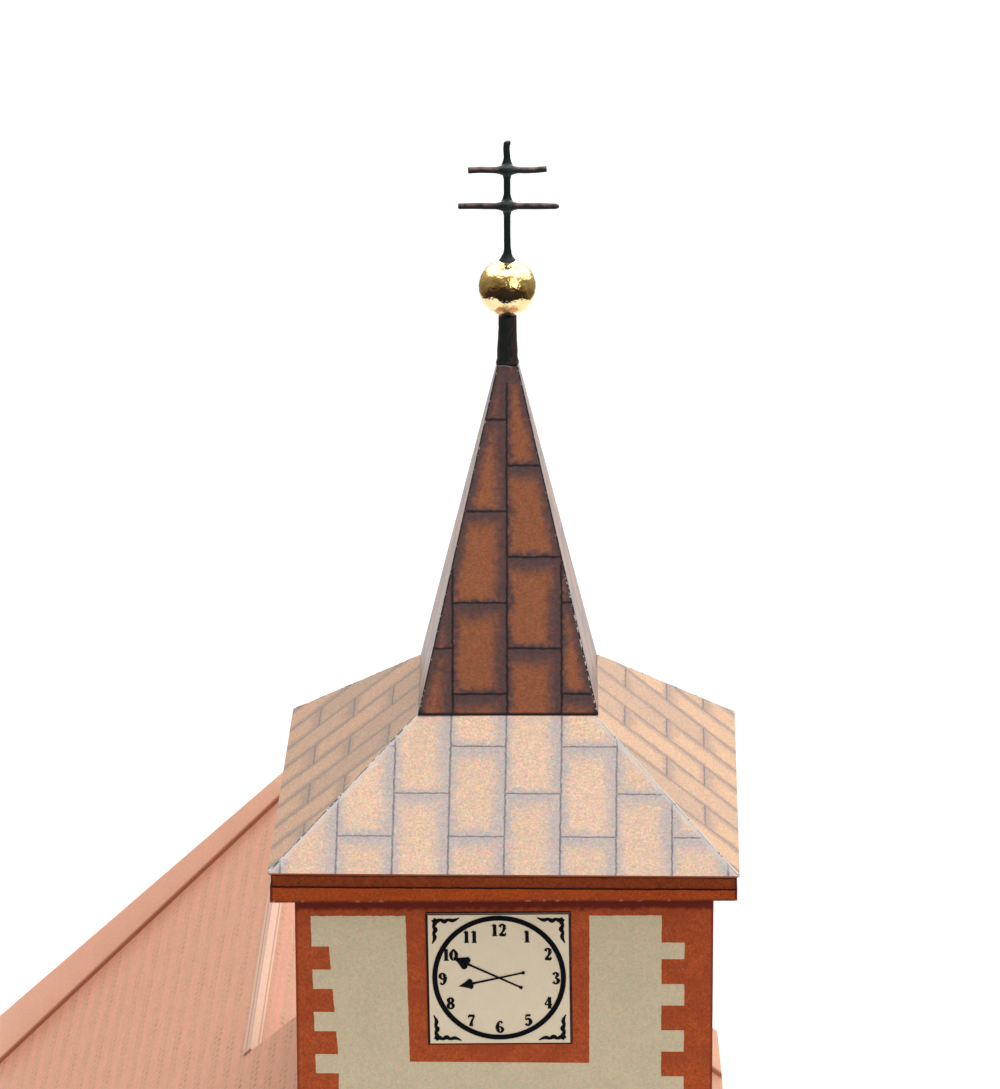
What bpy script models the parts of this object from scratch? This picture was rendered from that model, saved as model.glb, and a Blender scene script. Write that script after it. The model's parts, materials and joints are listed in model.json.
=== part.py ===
"""A small card model of a church: a square clock tower with a hipped roof and a steep
spire, a turned neck, a gilt ball and a wire cross, and a nave with a saddle roof.

Metres, +Z up. The origin is on the ground, at the middle of the tower. -Y is the front,
and the nave runs back from the tower along +Y.
"""

import math

import bmesh
import bpy
from mathutils import Matrix, Vector

# Card and fits: GAP is left between touching pieces, and SLAB is a blank before it is cut
CARD = 0.0003
THIN_CARD = 0.0002
GAP = 0.00003
SLAB = 0.4
WELD = 1e-7

# Tower
TOWER_HALF = 0.01872
EAVES_Z = 0.1
ROOF_HALF = 0.021
ROOF_RISE = 0.0103
CORNICE_HALF = 0.0207
CORNICE_BOTTOM = 0.00266
# The lower edge of the cornice was cut a little askew, and rises by this much along +X
CORNICE_SKEW = 0.0111

# Spire and what stands on it, as heights above the tower's eaves
SPIRE_BASE_HALF = 0.00816
SPIRE_TOP_HALF = 0.00096
SPIRE_TOP = 0.041
SPIRE_TURN = math.radians(1.1)
NECK_TOP = 0.04556
NECK_TOP_RADIUS = 0.0008
NECK_WAIST_RADIUS = 0.00085
NECK_EDGE = 0.0003
BALL_RADIUS = 0.00259
CROSS_TOP = 0.0619
WIRE_RADIUS = 0.00029
FOOT_RADIUS = 0.00062
FOOT_HEIGHT = 0.0009
# Each bar's height, and how far it reaches to the left and to the right
UPPER_BAR = (0.05917, -0.00345, 0.0036)
LOWER_BAR = (0.05585, -0.00435, 0.0046)

# Clock, on the front of the tower, glued on a little crooked
CLOCK_WIDTH = 0.01279
CLOCK_HEIGHT = 0.01263
CLOCK_TOP = 0.00458
CLOCK_SHIFT = -0.00045
CLOCK_TILT = math.radians(0.8)

# Nave: the roof's outer faces meet at the ridge. The left one also runs up to the tower,
# and its step is closed by a slanting card that meets the tower at STEP_AT_TOWER
RIDGE_X = -0.0255
RIDGE_Z = 0.0656
NAVE_EAVES_Z = 0.0324
NAVE_FRONT = -0.0172
NAVE_BACK = 0.0891
LEFT_PITCH = math.radians(45.0)
RIGHT_EAVES_X = 0.021
PARAPET_END_X = 0.0204
STEP_AT_TOWER = 0.0158
EAVES_OVERHANG = 0.0014
PARAPET_AT_RIDGE = 0.0027
PARAPET_AT_EAVES = 0.0055
CAP_LEFT = 0.0008
CAP_RIGHT = 0.00095

# Windows and door, as width and height, with the sill's height
DOOR = (0.0115, 0.0195)
TOWER_WINDOW = (0.006, 0.014)
TOWER_SILL = 0.046
NAVE_WINDOW = (0.0068, 0.0145)
NAVE_SILL = 0.0085
ROUND_WINDOW_RADIUS = 0.0045
ROUND_WINDOW_Z = 0.046
ARC_STEPS = 12

ROOF_SLOPE = math.atan2(ROOF_RISE, ROOF_HALF - SPIRE_BASE_HALF)
SPIRE_SLOPE = math.atan2(SPIRE_TOP - ROOF_RISE, SPIRE_BASE_HALF - SPIRE_TOP_HALF)
LEFT_EAVES_X = RIDGE_X - (RIDGE_Z - NAVE_EAVES_Z) / math.tan(LEFT_PITCH)
RIGHT_PITCH = math.atan2(RIDGE_Z - NAVE_EAVES_Z, RIGHT_EAVES_X - RIDGE_X)
LEFT_WALL_X = LEFT_EAVES_X + EAVES_OVERHANG
LEFT_RUN = RIDGE_X - LEFT_EAVES_X
PARAPET_FALL = (RIDGE_Z + PARAPET_AT_RIDGE - NAVE_EAVES_Z - PARAPET_AT_EAVES) / LEFT_RUN
SIDES = ("front", "right", "back", "left")


def clear_scene():
    for obj in list(bpy.data.objects):
        bpy.data.objects.remove(obj, do_unlink=True)


def make_material(name, colour, roughness, metallic=0.0):
    material = bpy.data.materials.new(name)
    material.use_nodes = True
    shader = material.node_tree.nodes["Principled BSDF"]
    shader.inputs["Base Color"].default_value = (*colour, 1.0)
    shader.inputs["Roughness"].default_value = roughness
    shader.inputs["Metallic"].default_value = metallic
    return material


def empty(name, collection, parent=None, location=(0, 0, 0), turn=0.0):
    obj = bpy.data.objects.new(name, None)
    obj.location = location
    obj.rotation_euler = (0, 0, turn)
    obj.parent = parent
    collection.objects.link(obj)
    return obj


def place(name, data, material, parent, location=(0, 0, 0), rotation=(0, 0, 0)):
    """One named piece, in its parent's collection."""
    obj = bpy.data.objects.new(name, data)
    if not data.materials:
        data.materials.append(material)
    obj.location = location
    obj.rotation_euler = rotation
    obj.parent = parent
    parent.users_collection[0].objects.link(obj)
    return obj


def cut_by_planes(bm, cuts):
    """Keeps what lies behind every plane, each given as a point and an outward normal."""
    for point, normal in cuts:
        geometry = bm.verts[:] + bm.edges[:] + bm.faces[:]
        bmesh.ops.bisect_plane(
            bm, geom=geometry, plane_co=point, plane_no=normal, clear_outer=True
        )
        rim = [edge for edge in bm.edges if edge.is_boundary]
        bmesh.ops.holes_fill(bm, edges=rim, sides=0)
    bmesh.ops.recalc_face_normals(bm, faces=bm.faces[:])


def finish_mesh(name, bm):
    mesh = bpy.data.meshes.new(name)
    bm.to_mesh(mesh)
    bm.free()
    return mesh


def card_slab(name, face_point, outward, thickness, cuts):
    """A flat card whose printed face passes through face_point, cut to shape by planes."""
    outward = Vector(outward).normalized()
    turn = outward.to_track_quat("Z", "Y").to_matrix().to_4x4()
    centre = Vector(face_point) - outward * thickness / 2
    size = Matrix.Diagonal((SLAB, SLAB, thickness, 1.0))
    bm = bmesh.new()
    bmesh.ops.create_cube(bm, size=1.0, matrix=Matrix.Translation(centre) @ turn @ size)
    cut_by_planes(bm, cuts)
    return finish_mesh(name, bm)


def mitre_cuts():
    """The two upright planes in which a front card meets its neighbours."""
    inset = (0, -GAP, 0)
    return [(inset, (1, 1, 0)), (inset, (-1, 1, 0))]


def level_cut(height, upward):
    return ((0, 0, height), (0, 0, 1 if upward else -1))


def flat_outline(name, points, depth):
    """A flat card with the given outline, lying in XY and centred on its thickness."""
    curve = bpy.data.curves.new(name, "CURVE")
    curve.dimensions = "2D"
    curve.fill_mode = "BOTH"
    curve.extrude = depth / 2
    spline = curve.splines.new("POLY")
    spline.points.add(len(points) - 1)
    for knot, (x, y) in zip(spline.points, points):
        knot.co = (x, y, 0, 1)
    spline.use_cyclic_u = True
    return curve


def strip_mesh(name, section, length):
    """A straight strip along X, with its section given as (y, z) points."""
    curve = flat_outline(name, section, length)
    helper = bpy.data.objects.new(name, curve)
    bpy.context.scene.collection.objects.link(helper)
    graph = bpy.context.evaluated_depsgraph_get()
    mesh = bpy.data.meshes.new_from_object(helper.evaluated_get(graph))
    bpy.data.objects.remove(helper, do_unlink=True)
    bm = bmesh.new()
    bm.from_mesh(mesh)
    bpy.data.meshes.remove(mesh)
    bmesh.ops.remove_doubles(bm, verts=bm.verts[:], dist=WELD)
    axes = Matrix(((0, 0, 1, 0), (1, 0, 0, 0), (0, 1, 0, 0), (0, 0, 0, 1)))
    bmesh.ops.transform(bm, matrix=axes, verts=bm.verts[:])
    bmesh.ops.recalc_face_normals(bm, faces=bm.faces[:])
    return bm


def arch_outline(width, height):
    """An opening with upright sides and a round head, standing on y = 0."""
    radius = width / 2
    spring = height - radius
    points = [(-radius, 0), (radius, 0)]
    for step in range(ARC_STEPS + 1):
        angle = math.pi * step / ARC_STEPS
        points.append((radius * math.cos(angle), spring + radius * math.sin(angle)))
    return points


def round_outline(radius):
    steps = ARC_STEPS * 2
    angles = [2 * math.pi * step / steps for step in range(steps)]
    return [(radius * math.cos(angle), radius * math.sin(angle)) for angle in angles]


def turned_mesh(name, profile):
    """A turned piece: the profile runs down its outer side, from the axis to the axis."""
    mesh = bpy.data.meshes.new(name)
    points = [(radius, 0, height) for radius, height in profile]
    edges = [(index, index + 1) for index in range(len(points) - 1)]
    mesh.from_pydata(points, edges, [])
    return mesh


def place_turned(name, profile, material, parent):
    obj = place(name, turned_mesh(name, profile), material, parent)
    screw = obj.modifiers.new("turn", "SCREW")
    screw.steps = 32
    screw.render_steps = 32
    screw.use_merge_vertices = True
    screw.merge_threshold = WELD
    screw.use_smooth_shade = True
    return obj


def place_wire(name, start, end, radius, material, parent):
    curve = bpy.data.curves.new(name, "CURVE")
    curve.dimensions = "3D"
    curve.bevel_depth = radius
    curve.bevel_resolution = 3
    curve.use_fill_caps = True
    spline = curve.splines.new("POLY")
    spline.points.add(1)
    spline.points[0].co = (*start, 1)
    spline.points[1].co = (*end, 1)
    return place(name, curve, material, parent)


def place_on_sides(kind, mesh, material, parent, height=0.0):
    """The same card on the four sides of the tower, each a quarter turn on."""
    for index, side in enumerate(SIDES):
        turn = (0, 0, index * math.pi / 2)
        place(kind.format(side), mesh, material, parent, (0, 0, height), turn)


def place_on_wall(name, outline, side, along, outward, height, material, parent):
    """A thin card on an upright wall: outward is its outer face's distance from the origin."""
    turn = SIDES.index(side) * math.pi / 2
    stand_off = outward + GAP + THIN_CARD / 2
    location = Matrix.Rotation(turn, 4, "Z") @ Vector((along, -stand_off, height))
    curve = flat_outline(name, outline, THIN_CARD)
    return place(name, curve, material, parent, location, (math.pi / 2, 0, turn))


def roof_underside(distance):
    """Height of the tower roof's inner face above the eaves, this far from the axis."""
    rise = (ROOF_HALF - distance) * math.tan(ROOF_SLOPE)
    return rise - CARD / math.cos(ROOF_SLOPE)


def add_tower_walls(tower, material):
    top = roof_underside(TOWER_HALF) - GAP
    cuts = mitre_cuts() + [level_cut(EAVES_Z + top, True), level_cut(0, False)]
    wall = card_slab("tower_wall", (0, -TOWER_HALF, 0), (0, -1, 0), CARD, cuts)
    place_on_sides("tower_{}_wall", wall, material, tower)


def add_cornice(tower, material):
    """A folded strip on each side: an upright fascia and a soffit back to the wall."""
    strip = cornice_strip()
    for index, side in enumerate(SIDES):
        turn = Matrix.Rotation(index * math.pi / 2, 4, "Z")
        bm = bmesh.new()
        bm.from_mesh(strip)
        for vert in bm.verts:
            if vert.co.z < -CORNICE_BOTTOM / 2:
                vert.co.z += CORNICE_SKEW * (turn @ vert.co).x
        mesh = finish_mesh(f"cornice_{side}", bm)
        rotation = (0, 0, index * math.pi / 2)
        place(f"cornice_{side}", mesh, material, tower, (0, 0, EAVES_Z), rotation)


def cornice_strip():
    top = roof_underside(CORNICE_HALF) - GAP
    outer = -CORNICE_HALF
    wall = -TOWER_HALF - GAP
    section = [
        (outer, -CORNICE_BOTTOM),
        (wall, -CORNICE_BOTTOM),
        (wall, CARD - CORNICE_BOTTOM),
        (outer + CARD, CARD - CORNICE_BOTTOM),
        (outer + CARD, top),
        (outer, top),
    ]
    bm = strip_mesh("cornice", section, SLAB)
    cut_by_planes(bm, mitre_cuts())
    return finish_mesh("cornice", bm)


def add_tower_roof(tower, material):
    outward = (0, -math.sin(ROOF_SLOPE), math.cos(ROOF_SLOPE))
    along_slope = (0, -math.cos(ROOF_SLOPE), -math.sin(ROOF_SLOPE))
    eaves = (0, -ROOF_HALF, 0)
    cuts = mitre_cuts() + [(eaves, along_slope), level_cut(ROOF_RISE, True)]
    panel = card_slab("tower_roof", eaves, outward, CARD, cuts)
    place_on_sides("tower_roof_{}", panel, material, tower, EAVES_Z)


def add_spire(spire, material):
    outward = (0, -math.sin(SPIRE_SLOPE), math.cos(SPIRE_SLOPE))
    foot = (0, -SPIRE_BASE_HALF, ROOF_RISE)
    levels = [level_cut(SPIRE_TOP, True), level_cut(ROOF_RISE + GAP, False)]
    panel = card_slab("spire", foot, outward, CARD, mitre_cuts() + levels)
    place_on_sides("spire_{}", panel, material, spire)


def add_neck_and_ball(spire, wood, gilt):
    bottom = SPIRE_TOP + GAP
    profile = [
        (0, NECK_TOP),
        (NECK_TOP_RADIUS - NECK_EDGE / 4, NECK_TOP),
        (NECK_TOP_RADIUS, NECK_TOP - NECK_EDGE),
        (NECK_WAIST_RADIUS, (NECK_TOP + bottom) / 2),
        (SPIRE_TOP_HALF, bottom + NECK_EDGE),
        (SPIRE_TOP_HALF, bottom),
        (0, bottom),
    ]
    place_turned("spire_neck", profile, wood, spire)
    bm = bmesh.new()
    bmesh.ops.create_uvsphere(bm, u_segments=32, v_segments=20, radius=BALL_RADIUS)
    for face in bm.faces:
        face.smooth = True
    centre = NECK_TOP + GAP + BALL_RADIUS
    ball = finish_mesh("ball", bm)
    place("ball", ball, gilt, spire, (0, 0, centre))
    return centre + BALL_RADIUS


def add_cross(spire, material, ball_top):
    """An upright wire on the ball, and two bars fixed across the front of it."""
    foot = ball_top + GAP
    profile = [
        (0, CROSS_TOP),
        (WIRE_RADIUS * 0.6, CROSS_TOP),
        (WIRE_RADIUS, CROSS_TOP - WIRE_RADIUS),
        (WIRE_RADIUS, foot + FOOT_HEIGHT),
        (FOOT_RADIUS, foot),
        (0, foot),
    ]
    place_turned("cross_stem", profile, material, spire)
    forward = -2 * WIRE_RADIUS - GAP
    bars = {"cross_upper_bar": UPPER_BAR, "cross_lower_bar": LOWER_BAR}
    for name, (height, left, right) in bars.items():
        start = (left, forward, height)
        end = (right, forward, height)
        place_wire(name, start, end, WIRE_RADIUS, material, spire)


def add_clock(tower, material):
    tilt = Matrix.Rotation(CLOCK_TILT, 2)
    corners = [(-1, -1), (1, -1), (1, 1), (-1, 1)]
    size = Vector((CLOCK_WIDTH, CLOCK_HEIGHT)) / 2
    outline = [tuple(tilt @ (Vector(corner) * size)) for corner in corners]
    middle = EAVES_Z - CLOCK_TOP - CLOCK_HEIGHT / 2
    name = "clock_panel_front"
    place_on_wall(name, outline, "front", CLOCK_SHIFT, TOWER_HALF, middle, material, tower)


def add_tower_openings(tower, door, window):
    outline = arch_outline(*DOOR)
    place_on_wall("tower_door", outline, "front", 0, TOWER_HALF, 0, door, tower)
    outline = arch_outline(*TOWER_WINDOW)
    for side in ("front", "right"):
        name = f"tower_{side}_window"
        place_on_wall(name, outline, side, 0, TOWER_HALF, TOWER_SILL, window, tower)


def gable_outline(right_end):
    """Outline of a gable in X and Z, from the left eaves to right_end: "tower" or "eaves"."""
    shoulder = NAVE_EAVES_Z - CARD
    left_top = NAVE_EAVES_Z + PARAPET_AT_EAVES
    peak = RIDGE_Z + PARAPET_AT_RIDGE
    left = [(LEFT_WALL_X, 0), (LEFT_WALL_X, shoulder), (LEFT_EAVES_X, shoulder)]
    left.append((LEFT_EAVES_X, left_top))
    if right_end == "tower":
        edge = -TOWER_HALF - GAP
        return left + [(edge, peak + (edge - RIDGE_X) * PARAPET_FALL), (edge, 0)]
    right = [(RIDGE_X, peak), (PARAPET_END_X, left_top), (RIGHT_EAVES_X, shoulder)]
    return left + right + [(TOWER_HALF, shoulder), (TOWER_HALF, 0)]


def add_gables(nave, material):
    upright = (math.pi / 2, 0, 0)
    front = flat_outline("nave_front_wall", gable_outline("tower"), CARD)
    place("nave_front_wall", front, material, nave, (0, NAVE_FRONT + CARD / 2, 0), upright)
    back = flat_outline("nave_back_wall", gable_outline("eaves"), CARD)
    place("nave_back_wall", back, material, nave, (0, NAVE_BACK - CARD / 2, 0), upright)


def box_card(name, low, high):
    bm = bmesh.new()
    size = Matrix.Diagonal((*(Vector(high) - Vector(low)), 1.0))
    middle = Matrix.Translation((Vector(low) + Vector(high)) / 2)
    bmesh.ops.create_cube(bm, size=1.0, matrix=middle @ size)
    return finish_mesh(name, bm)


def add_nave_sides(nave, material):
    first = NAVE_FRONT + CARD + GAP
    last = NAVE_BACK - CARD - GAP
    behind_tower = TOWER_HALF + GAP
    left_top = NAVE_EAVES_Z + EAVES_OVERHANG * math.tan(LEFT_PITCH)
    left_top -= CARD / math.cos(LEFT_PITCH) + GAP
    right_run = RIGHT_EAVES_X - TOWER_HALF
    right_top = NAVE_EAVES_Z + right_run * math.tan(RIGHT_PITCH)
    right_top -= CARD / math.cos(RIGHT_PITCH) + GAP
    low = (LEFT_WALL_X, first, 0)
    high = (LEFT_WALL_X + CARD, last, left_top)
    place("nave_left_wall", box_card("nave_left_wall", low, high), material, nave)
    low = (TOWER_HALF - CARD, behind_tower, 0)
    high = (TOWER_HALF, last, right_top)
    place("nave_right_wall", box_card("nave_right_wall", low, high), material, nave)


def add_nave_roof(nave, tiles):
    """Two cards. The left one also runs up past the ridge to the tower's side wall."""
    first = NAVE_FRONT + CARD + GAP
    last = NAVE_BACK - CARD - GAP
    behind_tower = TOWER_HALF + GAP
    left_edge = CARD * math.sin(LEFT_PITCH) + GAP
    right_edge = CARD * math.sin(RIGHT_PITCH) + GAP
    eaves = (RIDGE_X - LEFT_EAVES_X) / math.cos(LEFT_PITCH)
    ridge = left_edge / math.cos(LEFT_PITCH)
    at_tower = (RIDGE_X + TOWER_HALF + left_edge) / math.cos(LEFT_PITCH)
    outline = [
        (-eaves, first),
        (-at_tower, first),
        (-at_tower, STEP_AT_TOWER),
        (-ridge, behind_tower),
        (-ridge, last),
        (-eaves, last),
    ]
    ridge_point = Vector((RIDGE_X, 0, RIDGE_Z))
    inward = Vector((math.sin(LEFT_PITCH), 0, -math.cos(LEFT_PITCH)))
    card = flat_outline("nave_roof_left", outline, CARD)
    middle = ridge_point + inward * CARD / 2
    place("nave_roof_left", card, tiles, nave, middle, (0, -LEFT_PITCH, 0))
    eaves = (RIGHT_EAVES_X - RIDGE_X) / math.cos(RIGHT_PITCH)
    ridge = right_edge / math.cos(RIGHT_PITCH)
    beside_tower = (-behind_tower - RIDGE_X) / math.cos(RIGHT_PITCH)
    outline = [
        (ridge, behind_tower),
        (beside_tower, STEP_AT_TOWER + CARD / 2),
        (beside_tower, behind_tower),
        (eaves, behind_tower),
        (eaves, last),
        (ridge, last),
    ]
    inward = Vector((-math.sin(RIGHT_PITCH), 0, -math.cos(RIGHT_PITCH)))
    card = flat_outline("nave_roof_right", outline, CARD)
    middle = ridge_point + inward * CARD / 2
    place("nave_roof_right", card, tiles, nave, middle, (0, RIGHT_PITCH, 0))


def add_ridge_cap(nave, tiles):
    """A narrow folded strip that covers the joint between the two roof cards."""
    first = TOWER_HALF + GAP
    last = NAVE_BACK - CARD - GAP
    left = Vector((-math.cos(LEFT_PITCH), -math.sin(LEFT_PITCH)))
    right = Vector((math.cos(RIGHT_PITCH), -math.sin(RIGHT_PITCH)))
    left_up = Vector((-math.sin(LEFT_PITCH), math.cos(LEFT_PITCH)))
    right_up = Vector((math.sin(RIGHT_PITCH), math.cos(RIGHT_PITCH)))
    under = Vector((RIDGE_X, RIDGE_Z + GAP))
    peak = under + Vector((0, THIN_CARD / math.cos(LEFT_PITCH)))
    section = [
        under,
        under + right * CAP_RIGHT,
        under + right * CAP_RIGHT + right_up * THIN_CARD,
        peak,
        under + left * CAP_LEFT + left_up * THIN_CARD,
        under + left * CAP_LEFT,
    ]
    card = flat_outline("ridge_cap", [tuple(point) for point in section], last - first)
    middle = (0, (first + last) / 2, 0)
    place("ridge_cap", card, tiles, nave, middle, (math.pi / 2, 0, 0))


def add_roof_cheek(nave, material):
    """The upright card that closes the step in the roof, from the ridge to the tower."""
    run = -TOWER_HALF - GAP - RIDGE_X
    turn = math.atan2(STEP_AT_TOWER - TOWER_HALF, run)
    length = run / math.cos(turn)
    front_edge_fall = CARD * math.sin(-turn) * math.tan(LEFT_PITCH)
    ridge = RIDGE_Z - CARD / math.cos(LEFT_PITCH) - front_edge_fall - GAP
    top = ridge + run * math.tan(LEFT_PITCH)
    bottom = ridge - run * math.tan(RIGHT_PITCH)
    outline = [(0, ridge - GAP), (0, ridge), (length, top), (length, bottom - GAP)]
    card = flat_outline("roof_cheek", outline, CARD)
    back_face = Vector((RIDGE_X, TOWER_HALF, 0))
    forward = Vector((math.sin(turn), -math.cos(turn), 0))
    middle = back_face + forward * CARD / 2
    place("roof_cheek", card, material, nave, middle, (math.pi / 2, 0, turn))


def add_floors(tower, nave, material):
    """Plain cards inside the walls, level with their lower edges."""
    inside = TOWER_HALF - CARD - GAP
    low = (-inside, -inside, 0)
    high = (inside, inside, CARD)
    place("tower_floor", box_card("tower_floor", low, high), material, tower)
    left = LEFT_WALL_X + CARD + GAP
    first = NAVE_FRONT + CARD + GAP
    last = NAVE_BACK - CARD - GAP
    outside = TOWER_HALF + GAP
    outline = [
        (left, first),
        (-outside, first),
        (-outside, outside),
        (inside, outside),
        (inside, last),
        (left, last),
    ]
    card = flat_outline("nave_floor", outline, CARD)
    place("nave_floor", card, material, nave, (0, 0, CARD / 2))


def add_nave_windows(nave, window):
    outline = arch_outline(*NAVE_WINDOW)
    length = NAVE_BACK - NAVE_FRONT
    for number in range(3):
        middle = NAVE_FRONT + length * (number + 0.5) / 3
        name = f"nave_left_window_{number + 1}"
        place_on_wall(name, outline, "left", -middle, -LEFT_WALL_X, NAVE_SILL, window, nave)
    length = NAVE_BACK - TOWER_HALF
    for number in range(2):
        middle = TOWER_HALF + length * (number + 0.5) / 2
        name = f"nave_right_window_{number + 1}"
        place_on_wall(name, outline, "right", middle, TOWER_HALF, NAVE_SILL, window, nave)
    middle = (LEFT_WALL_X - TOWER_HALF) / 2
    name = "nave_front_window"
    place_on_wall(name, outline, "front", middle, -NAVE_FRONT, NAVE_SILL, window, nave)
    outline = round_outline(ROUND_WINDOW_RADIUS)
    name = "nave_back_window"
    place_on_wall(
        name, outline, "back", -RIDGE_X, NAVE_BACK, ROUND_WINDOW_Z, window, nave
    )


def main():
    clear_scene()
    church = bpy.data.collections.new("card_church")
    bpy.context.scene.collection.children.link(church)
    root = empty("church", church)
    tower = empty("tower", church, root)
    spire = empty("spire", church, tower, (0, 0, EAVES_Z), SPIRE_TURN)
    nave = empty("nave", church, root)

    walls = make_material("printed_wall_card", (0.55, 0.30, 0.16), 0.75)
    slabs = make_material("printed_slab_card", (0.86, 0.62, 0.45), 0.7)
    copper = make_material("printed_copper_card", (0.32, 0.14, 0.07), 0.6)
    tiles = make_material("printed_tile_card", (0.74, 0.45, 0.33), 0.7)
    plain = make_material("plain_card", (0.85, 0.83, 0.78), 0.85)
    dial = make_material("printed_dial_card", (0.80, 0.74, 0.60), 0.7)
    glass = make_material("printed_window_card", (0.16, 0.18, 0.22), 0.6)
    leaf = make_material("printed_door_card", (0.20, 0.10, 0.05), 0.7)
    wood = make_material("dark_stained_wood", (0.03, 0.04, 0.035), 0.5)
    gilt = make_material("polished_brass", (0.90, 0.66, 0.25), 0.12, 1.0)
    iron = make_material("blackened_wire", (0.03, 0.03, 0.04), 0.4, 0.6)

    add_tower_walls(tower, walls)
    add_cornice(tower, walls)
    add_tower_roof(tower, slabs)
    add_clock(tower, dial)
    add_tower_openings(tower, leaf, glass)
    add_spire(spire, copper)
    ball_top = add_neck_and_ball(spire, wood, gilt)
    add_cross(spire, iron, ball_top)
    add_gables(nave, walls)
    add_nave_sides(nave, walls)
    add_nave_roof(nave, tiles)
    add_ridge_cap(nave, tiles)
    add_roof_cheek(nave, walls)
    add_floors(tower, nave, plain)
    add_nave_windows(nave, glass)


if __name__ == "__main__":
    main()
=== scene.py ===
"""The looks of a small card model of a church, laid out as an add-on.

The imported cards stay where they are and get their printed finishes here. What is glued,
inked or soldered on them is modelled as pieces of its own. Places and sizes are metres,
and a finish works in millimetres. -Y is the front.
"""

import json
import math

import bpy
from bpy.props import FloatProperty, FloatVectorProperty, PointerProperty
from bpy.types import Operator, Panel, PropertyGroup
from mathutils import Matrix, Vector

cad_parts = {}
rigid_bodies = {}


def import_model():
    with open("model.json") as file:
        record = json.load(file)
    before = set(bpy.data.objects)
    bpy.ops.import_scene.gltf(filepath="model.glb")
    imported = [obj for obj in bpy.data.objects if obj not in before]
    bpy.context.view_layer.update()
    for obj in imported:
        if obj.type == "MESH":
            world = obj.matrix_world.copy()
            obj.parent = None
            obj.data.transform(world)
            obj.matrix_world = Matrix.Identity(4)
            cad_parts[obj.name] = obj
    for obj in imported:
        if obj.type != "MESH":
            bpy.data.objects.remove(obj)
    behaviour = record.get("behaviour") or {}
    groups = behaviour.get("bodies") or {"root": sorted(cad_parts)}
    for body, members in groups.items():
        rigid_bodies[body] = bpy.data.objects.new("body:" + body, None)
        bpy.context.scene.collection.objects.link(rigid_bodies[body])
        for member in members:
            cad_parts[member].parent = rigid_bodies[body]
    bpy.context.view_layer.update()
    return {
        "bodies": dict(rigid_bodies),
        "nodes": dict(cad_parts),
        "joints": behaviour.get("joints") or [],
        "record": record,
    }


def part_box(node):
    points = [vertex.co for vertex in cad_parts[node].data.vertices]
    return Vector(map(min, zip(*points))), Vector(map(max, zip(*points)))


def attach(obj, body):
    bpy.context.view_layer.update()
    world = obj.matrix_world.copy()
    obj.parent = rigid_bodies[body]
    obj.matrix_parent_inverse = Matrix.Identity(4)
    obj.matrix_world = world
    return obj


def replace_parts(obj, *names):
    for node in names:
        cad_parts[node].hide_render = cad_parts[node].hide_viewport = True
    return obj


bl_info = {
    "name": "Card church looks",
    "version": (1, 0, 0),
    "blender": (4, 5, 0),
    "location": "3D View > Sidebar > Church",
    "description": "Prints, inks and small parts of a card model of a church",
    "category": "Object",
}

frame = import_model()

MM = 0.001
GAP = 0.00003
CARD = 0.0003
WINDOW_CARD = 0.0002
THIN_PAPER = 0.0001
SIDES = ("front", "right", "back", "left")

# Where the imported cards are
EAVES_Z = 0.1
TOWER_HALF = -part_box("tower_front_wall")[0].y
ROOF_HALF = -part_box("tower_roof_front")[0].y
ROOF_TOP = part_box("tower_roof_front")[1].z
CORNICE_HALF = -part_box("cornice_front")[0].y
CORNICE_LEFT_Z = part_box("cornice_left")[0].z
CORNICE_RIGHT_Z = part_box("cornice_right")[0].z
CORNICE_SKEW = (CORNICE_RIGHT_Z - CORNICE_LEFT_Z) / (CORNICE_HALF + TOWER_HALF)
CORNICE_LOW = CORNICE_LEFT_Z + CORNICE_SKEW * CORNICE_HALF
PANEL_FACE = -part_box("clock_panel_front")[0].y
PANEL_MIDDLE = (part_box("clock_panel_front")[0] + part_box("clock_panel_front")[1]) / 2
PANEL_WIDTH = 0.01279
PANEL_HEIGHT = 0.01263
PANEL_TILT = math.radians(0.8)
SPIRE_TURN = math.radians(1.1)
SPIRE_HALF = 0.00816
SPIRE_TOP_HALF = 0.00096
SPIRE_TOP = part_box("spire_front")[1].z
BALL_LOW, BALL_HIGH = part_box("ball")
NECK_LOW, NECK_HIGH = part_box("spire_neck")
RIDGE_X = -0.0255
RIDGE_Z = 0.0656
GABLE_TOP_RIGHT = 0.0204
NAVE_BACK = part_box("nave_back_wall")[1].y
NAVE_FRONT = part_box("nave_front_wall")[0].y
NAVE_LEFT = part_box("nave_left_wall")[0].x
NAVE_EAVES_Z = 0.0324
PARAPET_AT_RIDGE = 0.0027
PARAPET_AT_EAVES = 0.0055
NAVE_EDGE_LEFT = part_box("nave_back_wall")[0].x
NAVE_EDGE_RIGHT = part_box("nave_back_wall")[1].x
DOOR_LOW, DOOR_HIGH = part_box("tower_door")
DOOR_BOARDS = 8
BOARD_WIDTH = (DOOR_HIGH.x - DOOR_LOW.x) / DOOR_BOARDS

ROOF_SLOPE = math.atan2(ROOF_TOP - EAVES_Z, ROOF_HALF - SPIRE_HALF)
SPIRE_SLOPE = math.atan2(SPIRE_TOP - ROOF_TOP, SPIRE_HALF - SPIRE_TOP_HALF)
LEFT_PITCH = math.atan2(RIDGE_Z - NAVE_EAVES_Z, RIDGE_X - NAVE_EDGE_LEFT)
RIGHT_PITCH = math.atan2(RIDGE_Z - NAVE_EAVES_Z, NAVE_EDGE_RIGHT - RIDGE_X)

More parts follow.
